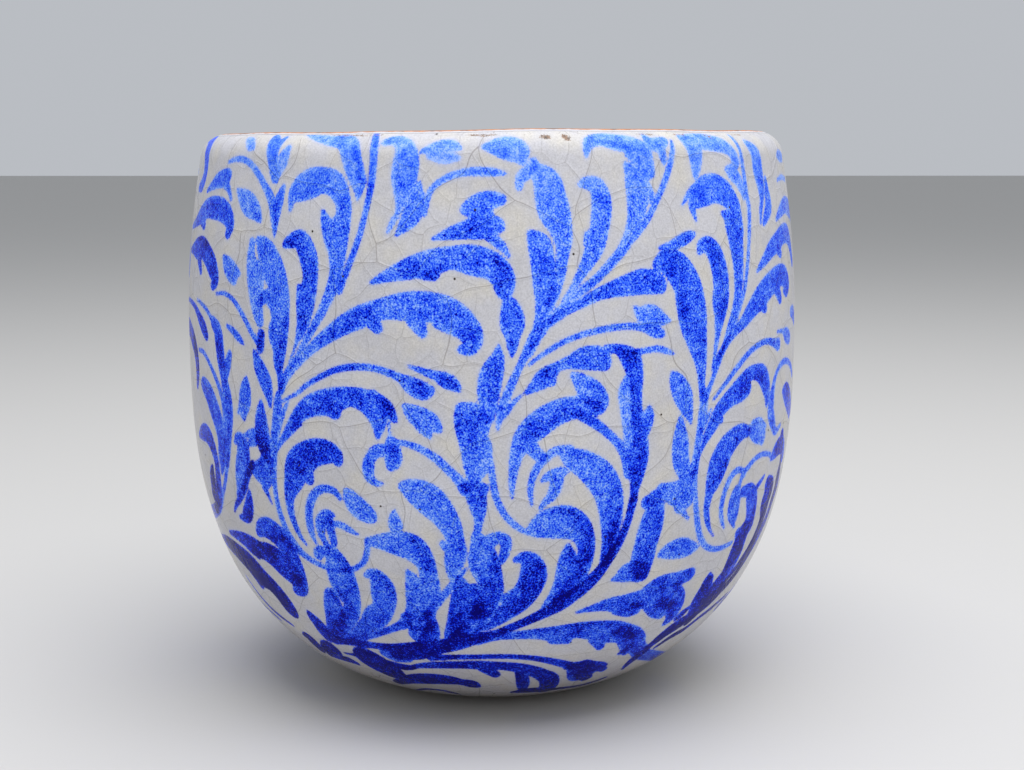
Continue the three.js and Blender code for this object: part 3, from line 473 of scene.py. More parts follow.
# The long leaves of the bowl
LOWER = [
    (0.5, [(-3.3, 74.6, 6.1), (0.5, 76.5, 4.6), (4.3, 76.9, 4.2), (9, 77.2, 5.6), (13.8, 76.5, 9),
        (17.6, 77.5, 8.5), (21.8, 76.2, 10.4), (25.5, 74.4, 11.8), (28.7, 72.3, 10.8), (31.7, 69.3, 10.2),
        (34.1, 65.5, 8.7), (35.5, 61.7, 7.7), (37.6, 58, 7.6), (39.8, 54.7, 7.5), (42.4, 51.5, 7.5),
        (75, 26.1, 6.6)], [(12.8, 74.3, 7), (16, 71.6, 2.7)], [(22.2, 72.6, 8), (24.3, 65.9, 4.1)],
        [(29.4, 68.3, 6), (32, 61.4, 5), (33, 58, 3.1)]),
    (0.6, [(16.3, 87.1, 1.1), (19.3, 88.3, 3.2), (22.7, 89.3, 6.1), (26, 88.6, 9.1), (29.5, 89.5, 9.5),
        (32.8, 89.6, 11), (36.1, 88.7, 12.9), (38.8, 86, 11.8), (40.3, 81.1, 9.8), (40.6, 76.7, 6.9),
        (39.7, 73.6, 3.1)], [(30.1, 94.2, 3.2), (33.1, 96.1, 6.2), (37, 96.1, 7.1), (40.7, 97.1, 6.1)],
        [(25, 86.7, 6.1), (27.8, 84.3, 5.1), (29.7, 84, 3.2)], [(32.6, 85.4, 6.1), (34.8, 81.8, 6.1),
        (37, 79.7, 5.1)]),
    (0.8, [(-14, 62.2, 4.1), (-8.6, 63.5, 3.2), (-3.2, 64.1, 3), (2.4, 64.3, 3), (8, 63, 3.2),
        (12.5, 60.3, 3.9), (16.1, 57.3, 4.6), (18.8, 54.7, 5.5), (21.8, 52.1, 7.4), (25.2, 50.5, 6.4),
        (28.1, 48.9, 5.4), (30.2, 46.5, 4)], [(21.6, 49.4, 6.9), (24.4, 44.2, 7.8), (27, 39.9, 6.8)]),
    (0.8, [(-20.6, 53.4, 2.2), (-16.4, 56, 4.1), (-12, 57.3, 5), (-6.7, 58.2, 5.5), (-2.2, 58, 6.5),
        (2, 57.6, 6), (6.1, 55.8, 7), (9.7, 52.7, 7.9), (12.3, 49.1, 8.9), (14.5, 45.1, 10.7),
        (15.7, 40, 11.7), (16.4, 35.2, 11.8), (17.2, 29.1, 10)], [(-2.1, 56.2, 7), (0.6, 50.8, 5.5)],
        [(6.1, 53.5, 4.1), (7.4, 47.2, 7), (8.2, 40.7, 7.9), (8.7, 34.9, 6.1)]),
    (0.95, [(-10.6, 70.3, 7.9), (-14.2, 67.6, 9.8), (-17.7, 64.9, 9.8), (-22.5, 61.5, 6)]),
    (0.85, [(-39, 64.6, 5.7), (-35.2, 65.7, 4.9), (-31, 66.2, 5), (-26.7, 66.3, 4.1), (-22.3, 66.6, 5),
        (-17.8, 68, 6), (-14.2, 69.4, 7)]),
    (0.7, [(-12.5, 86.9, 4.2), (-11.9, 82.2, 5.1), (-12.6, 76.7, 8), (-13.8, 71.2, 8.9)]),
    (0.6, [(-16.9, 84.5, 5.2), (-17.5, 81.7, 5.1), (-20.2, 78.5, 3.4), (-23.2, 75.5, 3.2),
        (-26.2, 72.6, 3.2), (-29.6, 69.7, 3), (-32.8, 67.2, 2.2)]),
    (0.8, [(47.2, 94, 1.7), (47.5, 90.4, 6.5), (48.4, 85.9, 9.3), (48.8, 81.6, 7.7), (48.6, 77.3, 4.9),
        (48.8, 73.1, 3.9)]),
]
# The scrolls low on the bowl, at its sides and under the long leaves
UNDER = [
    (1, [(-75.8, 99.1, 2), (-65.3, 100.1, 8.1), (-58.2, 97.1, 12.1), (-55.2, 93.4, 14.8),
        (-52.2, 90.6, 11.1), (-50.1, 87.3, 10.8), (-48.6, 82.6, 11.1), (-48.2, 78.1, 10.4),
        (-48.3, 75.4, 4)], [(-56, 91.7, 9.4), (-55.9, 87.9, 6.7), (-56.3, 85.2, 2.7)]),
    (0.85, [(-64, 86.2, 1.3), (-61.8, 76.7, 2.7), (-58.9, 70.8, 3.4), (-53.3, 65.8, 2)]),
    (0.85, [(-69, 69.9, 2), (-64.2, 67.6, 3.4), (-60.8, 65, 2.7)]),
    (0.9, [(-41.6, 79.5, 1.6), (-41.3, 76.9, 5.4), (-40.5, 73.4, 8.2), (-40.2, 68.9, 9.4),
        (-40.6, 65.2, 6)]),
    (1, [(-51.6, 60, 3), (-49.5, 60.1, 7.6), (-49.5, 57.5, 9.4), (-50.4, 53.3, 8), (-51.3, 49.9, 4)]),
    (1, [(-47.9, 51.8, 4.5), (-43.1, 56.9, 10.7), (-42, 56.1, 8.1), (-41, 55.2, 2.7)]),
    (0.95, [(-48.5, 48.3, 2.7), (-44, 48.8, 3.4), (-39.7, 49.9, 5.4), (-37.9, 48.5, 4)]),
    (0.95, [(-38.7, 55.8, 1.3), (-35.4, 56.1, 2.6), (-33, 55.8, 10), (-31.1, 54.5, 18.1),
        (-29, 50.7, 18.8), (-27.1, 47.3, 16.1), (-26, 45, 6.7)]),
    (1, [(-28.5, 56.4, 4.4), (-25.2, 54, 5.4), (-22, 52.9, 5.1), (-18.9, 53.9, 2.7)]),
    (0.5, [(-24.7, 62.2, 7.2), (-22.5, 62.9, 12.1), (-20.4, 62.2, 9.8)]),
    (0.95, [(55.5, 110.1, 9.3), (55.2, 104.1, 11.8), (54.4, 97.8, 9.1), (53.7, 92.1, 7.4), (52.5, 87, 9.7),
        (51.2, 82.7, 8.6), (50.1, 78.1, 5.4), (48.9, 73.9, 4.3), (48.8, 71.7, 3.2)]),
    (1, [(62.4, 127.3, 6.7), (64.1, 123.8, 10.8), (63.5, 119.8, 10.8), (64.3, 114.4, 8.1),
        (64.2, 110.1, 6.7), (63.6, 106.1, 5.4), (62.7, 101.6, 5.4), (61.6, 98, 5.4), (60.4, 94.9, 5.4),
        (58.7, 92, 4), (56.7, 88.3, 4), (54.5, 84.5, 4), (52, 80.7, 4), (50, 76.6, 4)]),
    (1, [(67.7, 145, 5.4), (69.5, 138.2, 4), (69.8, 131.9, 4), (69.5, 127.8, 6.7), (70.1, 122.6, 8.1),
        (69, 117.5, 6.7), (68.1, 112.7, 4.7), (67, 108.9, 4), (64.4, 105.7, 4), (62.7, 101.6, 4),
        (61.3, 98.6, 3.4), (59.7, 95.3, 2.7)]),
    (1, [(59.8, 88.2, 2.7), (57.4, 82.5, 3.4), (54.6, 77.3, 4), (51.4, 73.6, 4), (49.4, 69.7, 5.4)]),
    (1, [(64.3, 76.2, 2.7), (58.8, 72.3, 3.4), (54.2, 68.7, 3.4), (50.8, 64.1, 4), (46.5, 61.6, 4),
        (43.4, 56.7, 2.7)]),
    (0.9, [(47.9, 72.7, 4.2), (45.7, 71, 6.7), (43.5, 68.2, 7.5), (41.7, 64.2, 7.5), (40.2, 59.8, 5.8),
        (39.4, 55.4, 7.5), (38.4, 51.4, 7.5), (38.1, 46.6, 5), (38.9, 41.5, 1.7)]),
    (0.8, [(47.3, 94.6, 1.9), (48, 90.1, 7.3), (47.7, 85.9, 9), (47.3, 82, 8.2), (47.6, 77.8, 6.3),
        (47.3, 75.8, 4)]),
    (0.85, [(45.4, 78.8, 2.3), (44.2, 76.8, 4.6), (43, 74.7, 3.4)]),
    (0.45, [(30.2, 70.2, 6.7), (33.3, 62.7, 5.9), (37.1, 55.2, 4)], [(30.9, 59, 2.2), (32.1, 59.9, 4.5),
        (33.4, 61.3, 5.6)]),
    (0.6, [(19.9, 51.5, 6.4), (23.5, 45.6, 13.6), (25.9, 45.4, 8.1)]),
    (0.8, [(18.3, 54.5, 5.5), (20.9, 54.4, 5.9), (22.4, 56.1, 3.8), (24.9, 54.3, 3.5), (27.7, 51.5, 5.1),
        (29.4, 50.7, 2.4)]),
    (0.9, [(-30, 33.7, 5.4), (-24.6, 39.4, 8.1), (-20.1, 42.6, 10.5), (-15.5, 44.2, 10.6),
        (-11.4, 44.3, 9), (-8.3, 42.8, 6.9), (-5.7, 40.9, 8.3), (-4.2, 38.7, 3.7)]),
    (0.9, [(-31.3, 17.3, 1.3), (-22.6, 27.8, 2.7), (-17, 29.3, 2.7), (-14.2, 26.7, 4), (-11.8, 23, 2.7)]),
    (0.9, [(6, 29.2, 2.7), (9.1, 30.2, 6.7), (12.5, 30.7, 8.1), (16.8, 28.7, 5.4), (21.8, 29.2, 4),
        (27.5, 28.6, 4), (31.1, 29, 5.4), (33.8, 31.3, 5.4), (35.6, 33.9, 4)]),
    (1, [(69, 121, 2.5), (69, 114, 5), (68, 108.5, 6.5), (66.5, 103, 7), (64.5, 98, 6.5), (60, 87, 5.5),
        (53, 77, 4.5), (46.8, 68.8, 4), (40.5, 61, 2)]),
]
# Where pigment pooled: (strength, stroke, ...)
POOLS = [
    (0.4, [(-35.4, 224.9, 5), (-34.4, 223.9, 4)]),
    (0.35, [(-39.7, 243.1, 2), (-39.7, 238.9, 3)]),
    (0.2, [(-42.5, 190, 4), (-42.8, 186, 3)]),
    (0.35, [(-12.3, 176.2, 4), (-11.3, 174.2, 4)]),
    (0.45, [(-7.8, 178.2, 3), (-7.1, 177.2, 3)]),
    (0.35, [(-10.9, 201.2, 2), (-11.1, 195.2, 3)]),
    (0.4, [(-6, 203.2, 1), (-4.3, 199.2, 3), (-4.1, 195.3, 3), (-4.9, 190.2, 3), (-5.2, 188.7, 3)]),
    (0.35, [(-19.3, 201.1, 3), (-18.8, 196.1, 3)]),
    (0.45, [(-17.8, 169.1, 4), (-17, 166.1, 4)]),
    (0.3, [(-27.2, 165.6, 4), (-26.5, 164.6, 4)]),
    (0.3, [(-34.2, 159.5, 3), (-34.1, 158.8, 3)]),
    (0.35, [(-44.8, 154, 4), (-44, 148, 4), (-42.1, 146.5, 4)]),
    (0.4, [(-46.7, 140.6, 4.1), (-47.9, 137.6, 3.1)]),
    (0.3, [(-47.3, 148.5, 2), (-47.7, 143.1, 3.1)]),
    (0.4, [(-50, 118.8, 5.1), (-51.1, 118.4, 4.1)]),
    (0.4, [(-44.6, 110.8, 4.1), (-42.3, 112.7, 3.2), (-40.3, 111.3, 5.1)]),
    (0.4, [(-40.6, 96.3, 4.1), (-40.7, 93.1, 4.1)]),
    (0.35, [(-51.5, 103.6, 4.1), (-51.1, 101.7, 3.1)]),
    (0.3, [(-54.6, 109.3, 2.1), (-48.1, 107.2, 3.2), (-45.2, 105.2, 4.1)]),
    (0.3, [(-27.9, 108.8, 4.2), (-27, 105, 5.2)]),
    (0.35, [(-32, 90.9, 3.2), (-30.9, 89, 2.2)]),
    (0.45, [(-28.5, 87.5, 3.2), (-30.6, 82, 5.1)]),
    (0.35, [(-20.3, 102.1, 3.2), (-19.7, 100.6, 3.2)]),
    (0.35, [(-20.8, 86.9, 3.2), (-21.2, 85, 3.2)]),
    (0.3, [(-29.4, 123.3, 3.1), (-29.2, 121.4, 3.2)]),
    (0.45, [(-16.7, 153.6, 3), (-16.4, 149.6, 3.5)]),
    (0.3, [(-1.1, 242.2, 2), (-0.1, 240.7, 2.5)]),
    (0.35, [(-4.3, 230.9, 3), (-3.4, 230.3, 3)]),
    (0.4, [(-12.1, 256.2, 2), (-12.4, 251.2, 3), (-13.1, 247.2, 3)]),
    (0.35, [(-11.8, 236.7, 2.5), (-12, 233.7, 3)]),
    (0.4, [(0.8, 219.3, 2), (1.8, 214.3, 3.5), (1, 209.3, 4)]),
    (0.35, [(-10, 215.7, 3), (-9.3, 214.7, 3)]),
    (0.25, [(3.8, 254.8, 2), (4.6, 253.8, 2.5)]),
    (0.5, [(18, 239.9, 2.2), (20, 240.2, 2.4)]),
    (0.3, [(17.1, 259.3, 1.2), (21.6, 259.8, 1.9), (25.1, 257.4, 2.4), (27.2, 255.9, 2.5)]),
    (0.3, [(-0.6, 249.9, 1.5), (0.4, 249.7, 1.5)]),
    (0.2, [(-4.4, 139.2, 4.1), (-2.8, 136.2, 5.1), (-2.3, 134.8, 4.1)]),
    (0.35, [(-3.2, 164.2, 6), (-3.3, 156.2, 4), (-3.1, 152.2, 3)]),
    (0.4, [(24.3, 187.5, 3), (23.6, 182.5, 3)]),
    (0.25, [(24.1, 176, 3), (24.1, 166.4, 4), (24.2, 160.4, 4)]),
    (0.3, [(25.2, 154.4, 3), (25, 144.4, 4.1), (24.4, 133.4, 4.1)]),
    (0.4, [(18.1, 172.4, 4), (16.8, 168.9, 5)]),
    (0.35, [(17.1, 166.4, 4), (15.1, 164.4, 4)]),
    (0.35, [(6.6, 161.3, 4), (8.1, 159.8, 4)]),
    (0.3, [(13.7, 151.3, 3.1), (15.7, 149.8, 3.1), (18.7, 146.8, 2.1), (20.7, 141.4, 3.1),
        (21.2, 135.4, 3.1)]),
    (0.6, [(21.7, 128.4, 3.1), (21, 118.6, 5.2), (20.2, 112.7, 5.2), (19.9, 108.8, 4.2)]),
    (0.35, [(15.9, 125.4, 3.2), (16.8, 119.5, 3.2), (16.9, 112.7, 3.2), (16.1, 106.9, 4.2),
        (14.6, 101.2, 5.2), (12.5, 94.5, 6.2)]),
    (0.4, [(13, 115.6, 3.2), (14, 115.1, 3.2), (13.7, 110.8, 3.2)]),
    (0.5, [(0.6, 116.5, 2.2), (1.1, 108.8, 4.2), (1.3, 102.1, 4.2), (-0.1, 95.4, 5.2), (-1.8, 90.7, 7.1),
        (-2.5, 87.9, 6.1)]),
    (0.4, [(-6.8, 86, 4.2), (-7.1, 79.5, 6.1)]),
    (0.45, [(8.7, 107.8, 2.7), (8.9, 102.1, 3.2), (7.7, 96.4, 4.2), (5.7, 92.6, 4.2)]),
    (0.35, [(5.7, 104.9, 2.2), (5.9, 99.2, 4.2)]),
    (0.35, [(-10.6, 115.5, 3.2), (-10.5, 109.7, 3.2), (-11, 105.9, 3.2)]),
    (0.3, [(-15.5, 79.4, 4.2), (-12.3, 79.4, 4.2)]),
    (0.3, [(-5.3, 123.4, 2.2), (-5.4, 116.5, 2.2)]),
    (0.45, [(30.9, 215.6, 4), (30.7, 214.1, 4)]),
    (0.45, [(32.9, 203.1, 4), (33.4, 199.6, 5)]),
    (0.35, [(38.6, 241.5, 3.9), (39.3, 240.6, 3)]),
    (0.4, [(47.2, 209.7, 3), (47.4, 207.2, 4)]),
    (0.35, [(46.4, 232.7, 4), (47.4, 226.7, 4)]),
    (0.3, [(42.9, 202.6, 3), (42.5, 196.6, 3)]),
    (0.3, [(33.9, 225.6, 3), (34.7, 225.8, 2)]),
    (0.35, [(27, 131.9, 3.6), (29.2, 130.4, 3.1)]),
    (0.35, [(30, 125.5, 3.2), (29.4, 117.6, 4.2), (28.5, 111.8, 4.2)]),
    (0.55, [(27, 106, 5.2), (28.2, 102.2, 7.2)]),
    (0.35, [(45.4, 140.4, 4.1), (43.9, 137.4, 4.1)]),
    (0.4, [(37.1, 142.4, 3.1), (37, 140.4, 3.1)]),
    (0.35, [(46.4, 146.9, 3.1), (47.9, 149.4, 2.1)]),
    (0.35, [(58.7, 124.5, 2.2), (57.9, 117.7, 4.2), (58.5, 111, 4.2)]),
    (0.4, [(56.1, 103, 3.2), (57.2, 100.3, 4.1)]),
    (0.4, [(34.2, 95.2, 3.2), (34.6, 94, 3.2)]),
    (0.45, [(37.4, 94.5, 3.2), (38.7, 92.4, 4.2)]),
    (0.5, [(28.2, 85.8, 3.2), (29.6, 86.8, 4.2)]),
    (0.6, [(35.5, 86.4, 4.2), (38.2, 83.3, 5.1), (39.9, 78, 4.1)]),
    (0.35, [(9, 79.2, 1.8), (14.8, 80.2, 2.2), (20.5, 80.2, 2.4), (26.2, 78.5, 3.2)]),
    (0.6, [(26.5, 74.5, 4.1), (28.7, 73.2, 6), (31.8, 70.9, 3.1)]),
    (0.35, [(16.9, 77, 3.2), (17.9, 76.6, 3.2)]),
    (0.5, [(31.4, 59.6, 3.1), (32.1, 59.3, 3.1)]),
    (0.4, [(38, 58.5, 3), (40.9, 56.9, 3.9)]),
    (0.4, [(-48.4, 80.5, 3), (-50.7, 89.3, 4.9), (-53.8, 94.8, 4), (-60, 98.5, 3)]),
    (0.45, [(-23.4, 257.3, 4), (-22.2, 251.6, 5), (-21.3, 246.6, 5), (-22, 242.4, 4)]),
    (0.35, [(-15.2, 255.8, 4), (-13.4, 250.2, 5), (-14.8, 245.9, 4)]),
    (0.4, [(-34.9, 225.5, 4), (-33.8, 218.4, 5), (-33.4, 209.9, 4)]),
    (0.4, [(-70, 227, 4), (-63.5, 223.8, 6), (-59.9, 219.6, 4)]),
    (0.4, [(-14.4, 218.5, 4), (-11.4, 214.1, 5), (-8.4, 215.9, 4)]),
    (0.4, [(7.4, 220.4, 5), (9.1, 216.9, 6), (11.3, 217.5, 5)]),
    (0.4, [(20.2, 216.8, 3), (17.2, 211.7, 4), (14.2, 206.9, 3)]),
    (0.4, [(-29.1, 189.6, 4), (-26.3, 193.1, 6), (-23.4, 197.3, 6), (-19.8, 201.4, 4)]),
    (0.35, [(-31.2, 175.2, 3), (-27.6, 179, 4), (-23.8, 181.2, 3)]),
    (0.45, [(20.8, 187.5, 5), (21.8, 182.4, 6), (21.9, 177.4, 5)]),
    (0.4, [(-35.9, 197.4, 4), (-37.1, 188.5, 5), (-38.1, 178.9, 5), (-38.5, 171.4, 4)]),
    (0.3, [(-5.7, 164.5, 5), (-5.1, 159.5, 6), (-4.6, 154.5, 5)]),
    (0.3, [(0.9, 171.7, 4), (1.5, 166.7, 4)]),
    (0.35, [(10.9, 164.9, 5), (14.3, 163.9, 6), (17.4, 166.1, 5)]),
    (0.3, [(17.6, 177.1, 4), (18.7, 173.1, 5), (18.4, 169.2, 4)]),
    (0.3, [(-35.4, 140.8, 6), (-33.8, 145.7, 8), (-31.3, 149.2, 8), (-28.8, 151.2, 6)]),
    (0.35, [(-8.7, 138.7, 3), (-6.4, 133.6, 5), (-5.1, 127.2, 3)]),
    (0.45, [(-12.9, 117.7, 6), (-11.6, 114.2, 8), (-11.1, 108.6, 6)]),
    (0.55, [(14.1, 113.4, 5), (15.8, 111.9, 8), (17.1, 115.8, 8), (17.3, 122.1, 5)]),
    (0.35, [(11.3, 130.9, 4), (14.4, 129, 5), (16.7, 124.5, 4)]),
    (0.3, [(19.9, 130.1, 5), (20.7, 126.1, 5)]),
    (0.35, [(0.8, 114.8, 5), (1.1, 109.1, 7), (-0.1, 102.4, 5)]),
    (0.4, [(8.4, 108.8, 4), (8.5, 101.1, 6), (6.1, 94.2, 6), (2.9, 88.8, 4)]),
    (0.3, [(-29.8, 90.6, 6), (-29.5, 83.9, 6)]),
    (0.5, [(-66.7, 101.2, 8), (-60.2, 98, 10), (-55.4, 92.9, 10), (-52.4, 87.1, 10), (-49.8, 82.5, 8)]),
    (0.5, [(-62.5, 134.8, 6), (-63.8, 125.2, 8), (-66.8, 115.6, 6)]),
    (0.4, [(-58.1, 189.3, 4), (-56.1, 183.6, 6), (-54.7, 177.8, 4)]),
    (0.4, [(-69.7, 190, 6), (-68.3, 181.6, 8), (-67.2, 174, 6)]),
    (0.55, [(65.5, 141.3, 6), (68.2, 131.2, 9), (66.9, 121.8, 9), (64.4, 112.6, 9), (63.1, 100.9, 9),
        (61, 90.9, 9), (56.9, 83.2, 9), (51.8, 77.8, 6)]),
    (0.4, [(52.6, 73, 5), (48.1, 67.4, 8), (44.8, 60.6, 8), (81.9, 25.5, 5)]),
    (0.35, [(47.8, 167.7, 4), (50.9, 170.8, 5), (54.5, 171.4, 4)]),
    (0.35, [(40.2, 223.9, 5), (41.6, 218.7, 5)]),
    (0.35, [(48.5, 254.4, 4), (49.2, 247.8, 4)]),
    (0.4, [(68.5, 170.1, 4), (70.8, 159, 4)]),
    (0.35, [(34.5, 111.6, 5), (38.6, 110.7, 5)]),
    (0.35, [(-8.5, 228.7, 3), (-4.6, 227, 4), (-0.7, 227, 3)]),
]
# Where the lip is chipped or worn
CHIPS = [
    [(-3.7, 264.4, 1.1), (-1.7, 263.8, 1.3), (0.6, 264.1, 0.9)],
    [(8.6, 262.8, 1.8), (9.6, 262.3, 2.2)],
    [(12.4, 263.1, 1.8), (13, 261.9, 2.4), (13.5, 261.6, 1.1)],
    [(-29.9, 265.5, 0.8), (-23.9, 264.9, 0.9), (-19.9, 265.1, 0.6)],
    [(26.8, 264.2, 0.7), (29.8, 263.9, 0.9)],
    [(34.7, 264, 0.7), (37.2, 263.8, 1)],
    [(42.7, 264.1, 1), (43.9, 263.1, 1.4)],
    [(51.1, 265, 0.8), (54.9, 264.5, 0.9)],
    [(101.8, 264.4, 0.9), (108, 264, 1.2)],
    [(151, 264.4, 1), (154, 263.1, 1.8)],
    [(-95.7, 264.6, 0.9), (-89.6, 264.4, 1.1)],
    [(-141, 264.9, 1.1), (-137, 263.9, 1.7)],
    [(-170, 264.9, 0.7), (-163, 264.5, 0.9)],
]


# ---------------------------------------------------------------------------------------------------
# The pot's skin, as rows of (radius, height)


def bowl_line(angles):
    """The bowl, a quarter of a superellipse, from the foot (0) to the belly (pi/2)."""
    r = BOWL_R + (BELLY_R - BOWL_R) * np.sin(angles) ** BOWL_SPREAD_POWER
    z = FOOT_RISE + (BELLY_Z - FOOT_RISE) * (1 - np.cos(angles) ** BOWL_RISE_POWER)
    return np.column_stack([r, z])


def shoulder_line(shares):
    """The wall above the belly, as a share of the way up to the lip."""
    r = BELLY_R - SHOULDER_DROP * shares**SHOULDER_POWER
    return np.column_stack([r, BELLY_Z + SHOULDER_RISE * shares])


def arc(r, z, radius, angles):
    """Points on the circle about (r, z)."""
    return np.column_stack([r + radius * np.cos(angles), z + radius * np.sin(angles)])


def lip_line(angles, radius):
    """The lip's outer rounding, from the wall's lean up to the crown (pi/2)."""
    return arc(CROWN_R, LIP_Z, radius, angles)


def skin_line(bowl_steps, shoulder_steps, lip_steps, start=BOWL_START):
    """The outside of the pot, from the bowl's lower edge to where the outer glaze stops."""
    bowl = bowl_line(np.linspace(start, math.pi / 2, bowl_steps + 1))
    shoulder = shoulder_line(np.linspace(0, 1, shoulder_steps + 1))[1:]
    lip = lip_line(np.linspace(LIP_LEAN, GLAZE_STOP, lip_steps + 1), LIP_R)[1:]
    return np.vstack([bowl, shoulder, lip])


def lengths(line):
    """How far along the line each of its points is."""
    return np.concatenate([[0], np.cumsum(np.hypot(*np.diff(line, axis=0).T))])


def inward(line, distance):
    """The line moved towards the pot's axis and inside, square to itself."""
    along = np.gradient(line, axis=0)
    along /= np.hypot(*along.T)[:, None]
    return line + np.column_stack([-along[:, 1], along[:, 0]]) * np.reshape(distance, (-1, 1))


# ---------------------------------------------------------------------------------------------------
# The painting


def smooth_line(points):
    """A smooth curve through a stroke's points, as closely spaced rows of (mm round, mm up, width)."""
    p = np.array(points, float) * (DEGREE, 1, 1)
    if len(p) == 2:
        p = np.array([p[0], p.mean(0), p[1]])
    p = np.vstack([2 * p[0] - p[1], p, 2 * p[-1] - p[-2]])
    rows = []
    for a, b, c, d in zip(p, p[1:], p[2:], p[3:]):
        count = 2 + int(math.dist(b[:2], c[:2]) / STROKE_STEP)
        t = np.linspace(0, 1, count, endpoint=False)[:, None]
        bend = 2 * a - 5 * b + 4 * c - d
        rows.append(b + ((c - a) * t + bend * t**2 + (3 * b - a - 3 * c + d) * t**3) / 2)
    rows.append(p[-2:-1])
    line = np.vstack(rows)
    line[:, 2] = np.maximum(line[:, 2], THINNEST)
    return line


class Chart:
    """The skin unrolled: one value for each vertex of the outer glaze's fine face."""

    def __init__(self, heights):
        self.heights = heights
        self.step = 360 * DEGREE / COLUMNS

    def blank(self, value):
        return np.full((len(self.heights), COLUMNS), float(value))

    def depth(self, strokes):
        """How deep each vertex lies inside the strokes in mm, below 0 outside them."""
        depth = self.blank(-REACH)
        for stroke in strokes:
            line = smooth_line(stroke)
            margin = line[:, 2].max() / 2 + REACH
            first = math.floor((line[:, 0].min() - margin) / self.step)
            last = math.ceil((line[:, 0].max() + margin) / self.step)
            ends = line[:, 1].min() - margin, line[:, 1].max() + margin
            rows = np.arange(*np.searchsorted(self.heights, ends))
            columns = np.arange(first, last + 1)
            x, y = np.meshgrid(columns * self.step, self.heights[rows])
            near = np.full(x.shape, -REACH)
            for cx, cy, width in line:
                np.maximum(near, width / 2 - np.hypot(x - cx, y - cy), out=near)
            patch = np.ix_(rows, columns % COLUMNS)
            depth[patch] = np.maximum(depth[patch], near)
        return depth


def step_up(value, low, high):
    """0 below low and 1 above high, with a smooth rise between them."""
    t = np.clip((value - low) / (high - low), 0, 1)
    return t * t * (3 - 2 * t)


def repeated(leaves, middle, place, squeeze):
    """The leaves painted again round the back, squeezed, with what stood at the middle at the place.

    What would come out on the front is left out.
    """
    again = []
    for pigment, *strokes in leaves:
        moved = [[((a - middle) * squeeze + place, s, w) for a, s, w in stroke] for stroke in strokes]
        centre = np.mean([a for stroke in moved for a, _, _ in stroke]) % 360
        if BACK_EDGE < centre < 360 - BACK_EDGE:
            again.append((pigment, *moved))
    return again


def whole_painting():
    """The leaves of the front, and those that repeat them round the back."""
    leaves = LEFT + MIDDLE + RIGHT + LEFT_EDGE + RIGHT_EDGE + LOWER + UNDER
    for place in BACK_SPRAYS:
        leaves += repeated(LEFT, LEFT_MIDDLE, place, SPRAY_SQUEEZE)
    for place, squeeze in BACK_SPIRALS:
        leaves += repeated(MIDDLE, SPIRAL_MIDDLE, place, squeeze)
    for place in BACK_SPRAYS:
        leaves += repeated(LOWER, LOWER_MIDDLE, place, LOWER_SQUEEZE)
    return leaves


def paint(chart):
    """The painting as vertex values: depth inside the strokes, pigment, pools of pigment, chips.

    Where leaves overlap, each lets the one below show through. Just outside the strokes the pigment
    is that of the nearest leaf.
    """
    edge = chart.blank(-REACH)
    clear = chart.blank(1)
    nearest = chart.blank(0)
    for pigment, *strokes in whole_painting():
        depth = chart.depth(strokes)
        clear *= 1 - pigment * step_up(depth, *OVERLAP_EDGE)
        nearest = np.where(depth > edge, pigment, nearest)
        edge = np.maximum(edge, depth)
    pool = chart.blank(0)
    for strength, *strokes in POOLS:
        pool = np.maximum(pool, strength * step_up(chart.depth(strokes), *POOL_EDGE))
    return {
        "edge": edge + BLEED,
        "pigment": np.maximum(1 - clear, nearest),
        "pool": pool,
        "chip": chart.depth(CHIPS),
    }


# ---------------------------------------------------------------------------------------------------
# Meshes


def new_object(name, mesh, node, material):
    """Puts a finished mesh in the scene, riding on the pot, in place of a CAD node."""
    piece = bpy.data.objects.new(name, mesh)
    bpy.context.scene.collection.objects.link(piece)
    mesh.materials.append(material)
    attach(piece, "root")
    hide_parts(node)


def drop_loose(mesh):
    """Deletes the vertices that no face uses."""
    work = bmesh.new()
    work.from_mesh(mesh)
    bmesh.ops.delete(work, geom=[v for v in work.verts if not v.link_faces], context="VERTS")
    work.to_mesh(mesh)
    work.free()


LEVEL = 0.8  # a face whose normal has at least this much of up or down in it belongs to a floor


def unroll(mesh):
    """Gives each face corner a flat place in mm for the crackle: unrolled from a wall, plain on a floor."""
    place = np.empty(len(mesh.vertices) * 3)
    mesh.vertices.foreach_get("co", place)
    corner = np.empty(len(mesh.loops), int)
    mesh.loops.foreach_get("vertex_index", corner)
    sides = np.empty(len(mesh.polygons), int)
    mesh.polygons.foreach_get("loop_total", sides)
    facing = np.empty(len(mesh.polygons) * 3)
    mesh.polygons.foreach_get("normal", facing)
    middle = np.empty(len(mesh.polygons) * 3)
    mesh.polygons.foreach_get("center", middle)

    def angle(x, y):
        return np.arctan2(x, -y)

    x, y, z = (place.reshape(-1, 3) / MM)[corner].T
    towards = np.repeat(angle(*middle.reshape(-1, 3).T[:2]), sides)
    turn = towards + (angle(x, y) - towards + math.pi) % (2 * math.pi) - math.pi
    flat = np.column_stack([turn * BELLY_R, z + np.hypot(x, y), 0 * z])
    level = np.repeat(abs(facing[2::3]) > LEVEL, sides)
    flat[level] = np.column_stack([x, y, 0 * z])[level]
    layer = mesh.attributes.new("unrolled", "FLOAT_VECTOR", "CORNER")
    layer.data.foreach_set("vector", flat.ravel())


def around(section, turns):
    """A section's points at each of the turns, as an array of turn, point and XYZ."""
    angles = np.linspace(0, 2 * math.pi, turns, endpoint=False)
    r, z = np.asarray(section).T
    x = np.sin(angles)[:, None] * r
    y = -np.cos(angles)[:, None] * r
    return np.stack([x, y, np.broadcast_to(z, x.shape)], axis=-1)


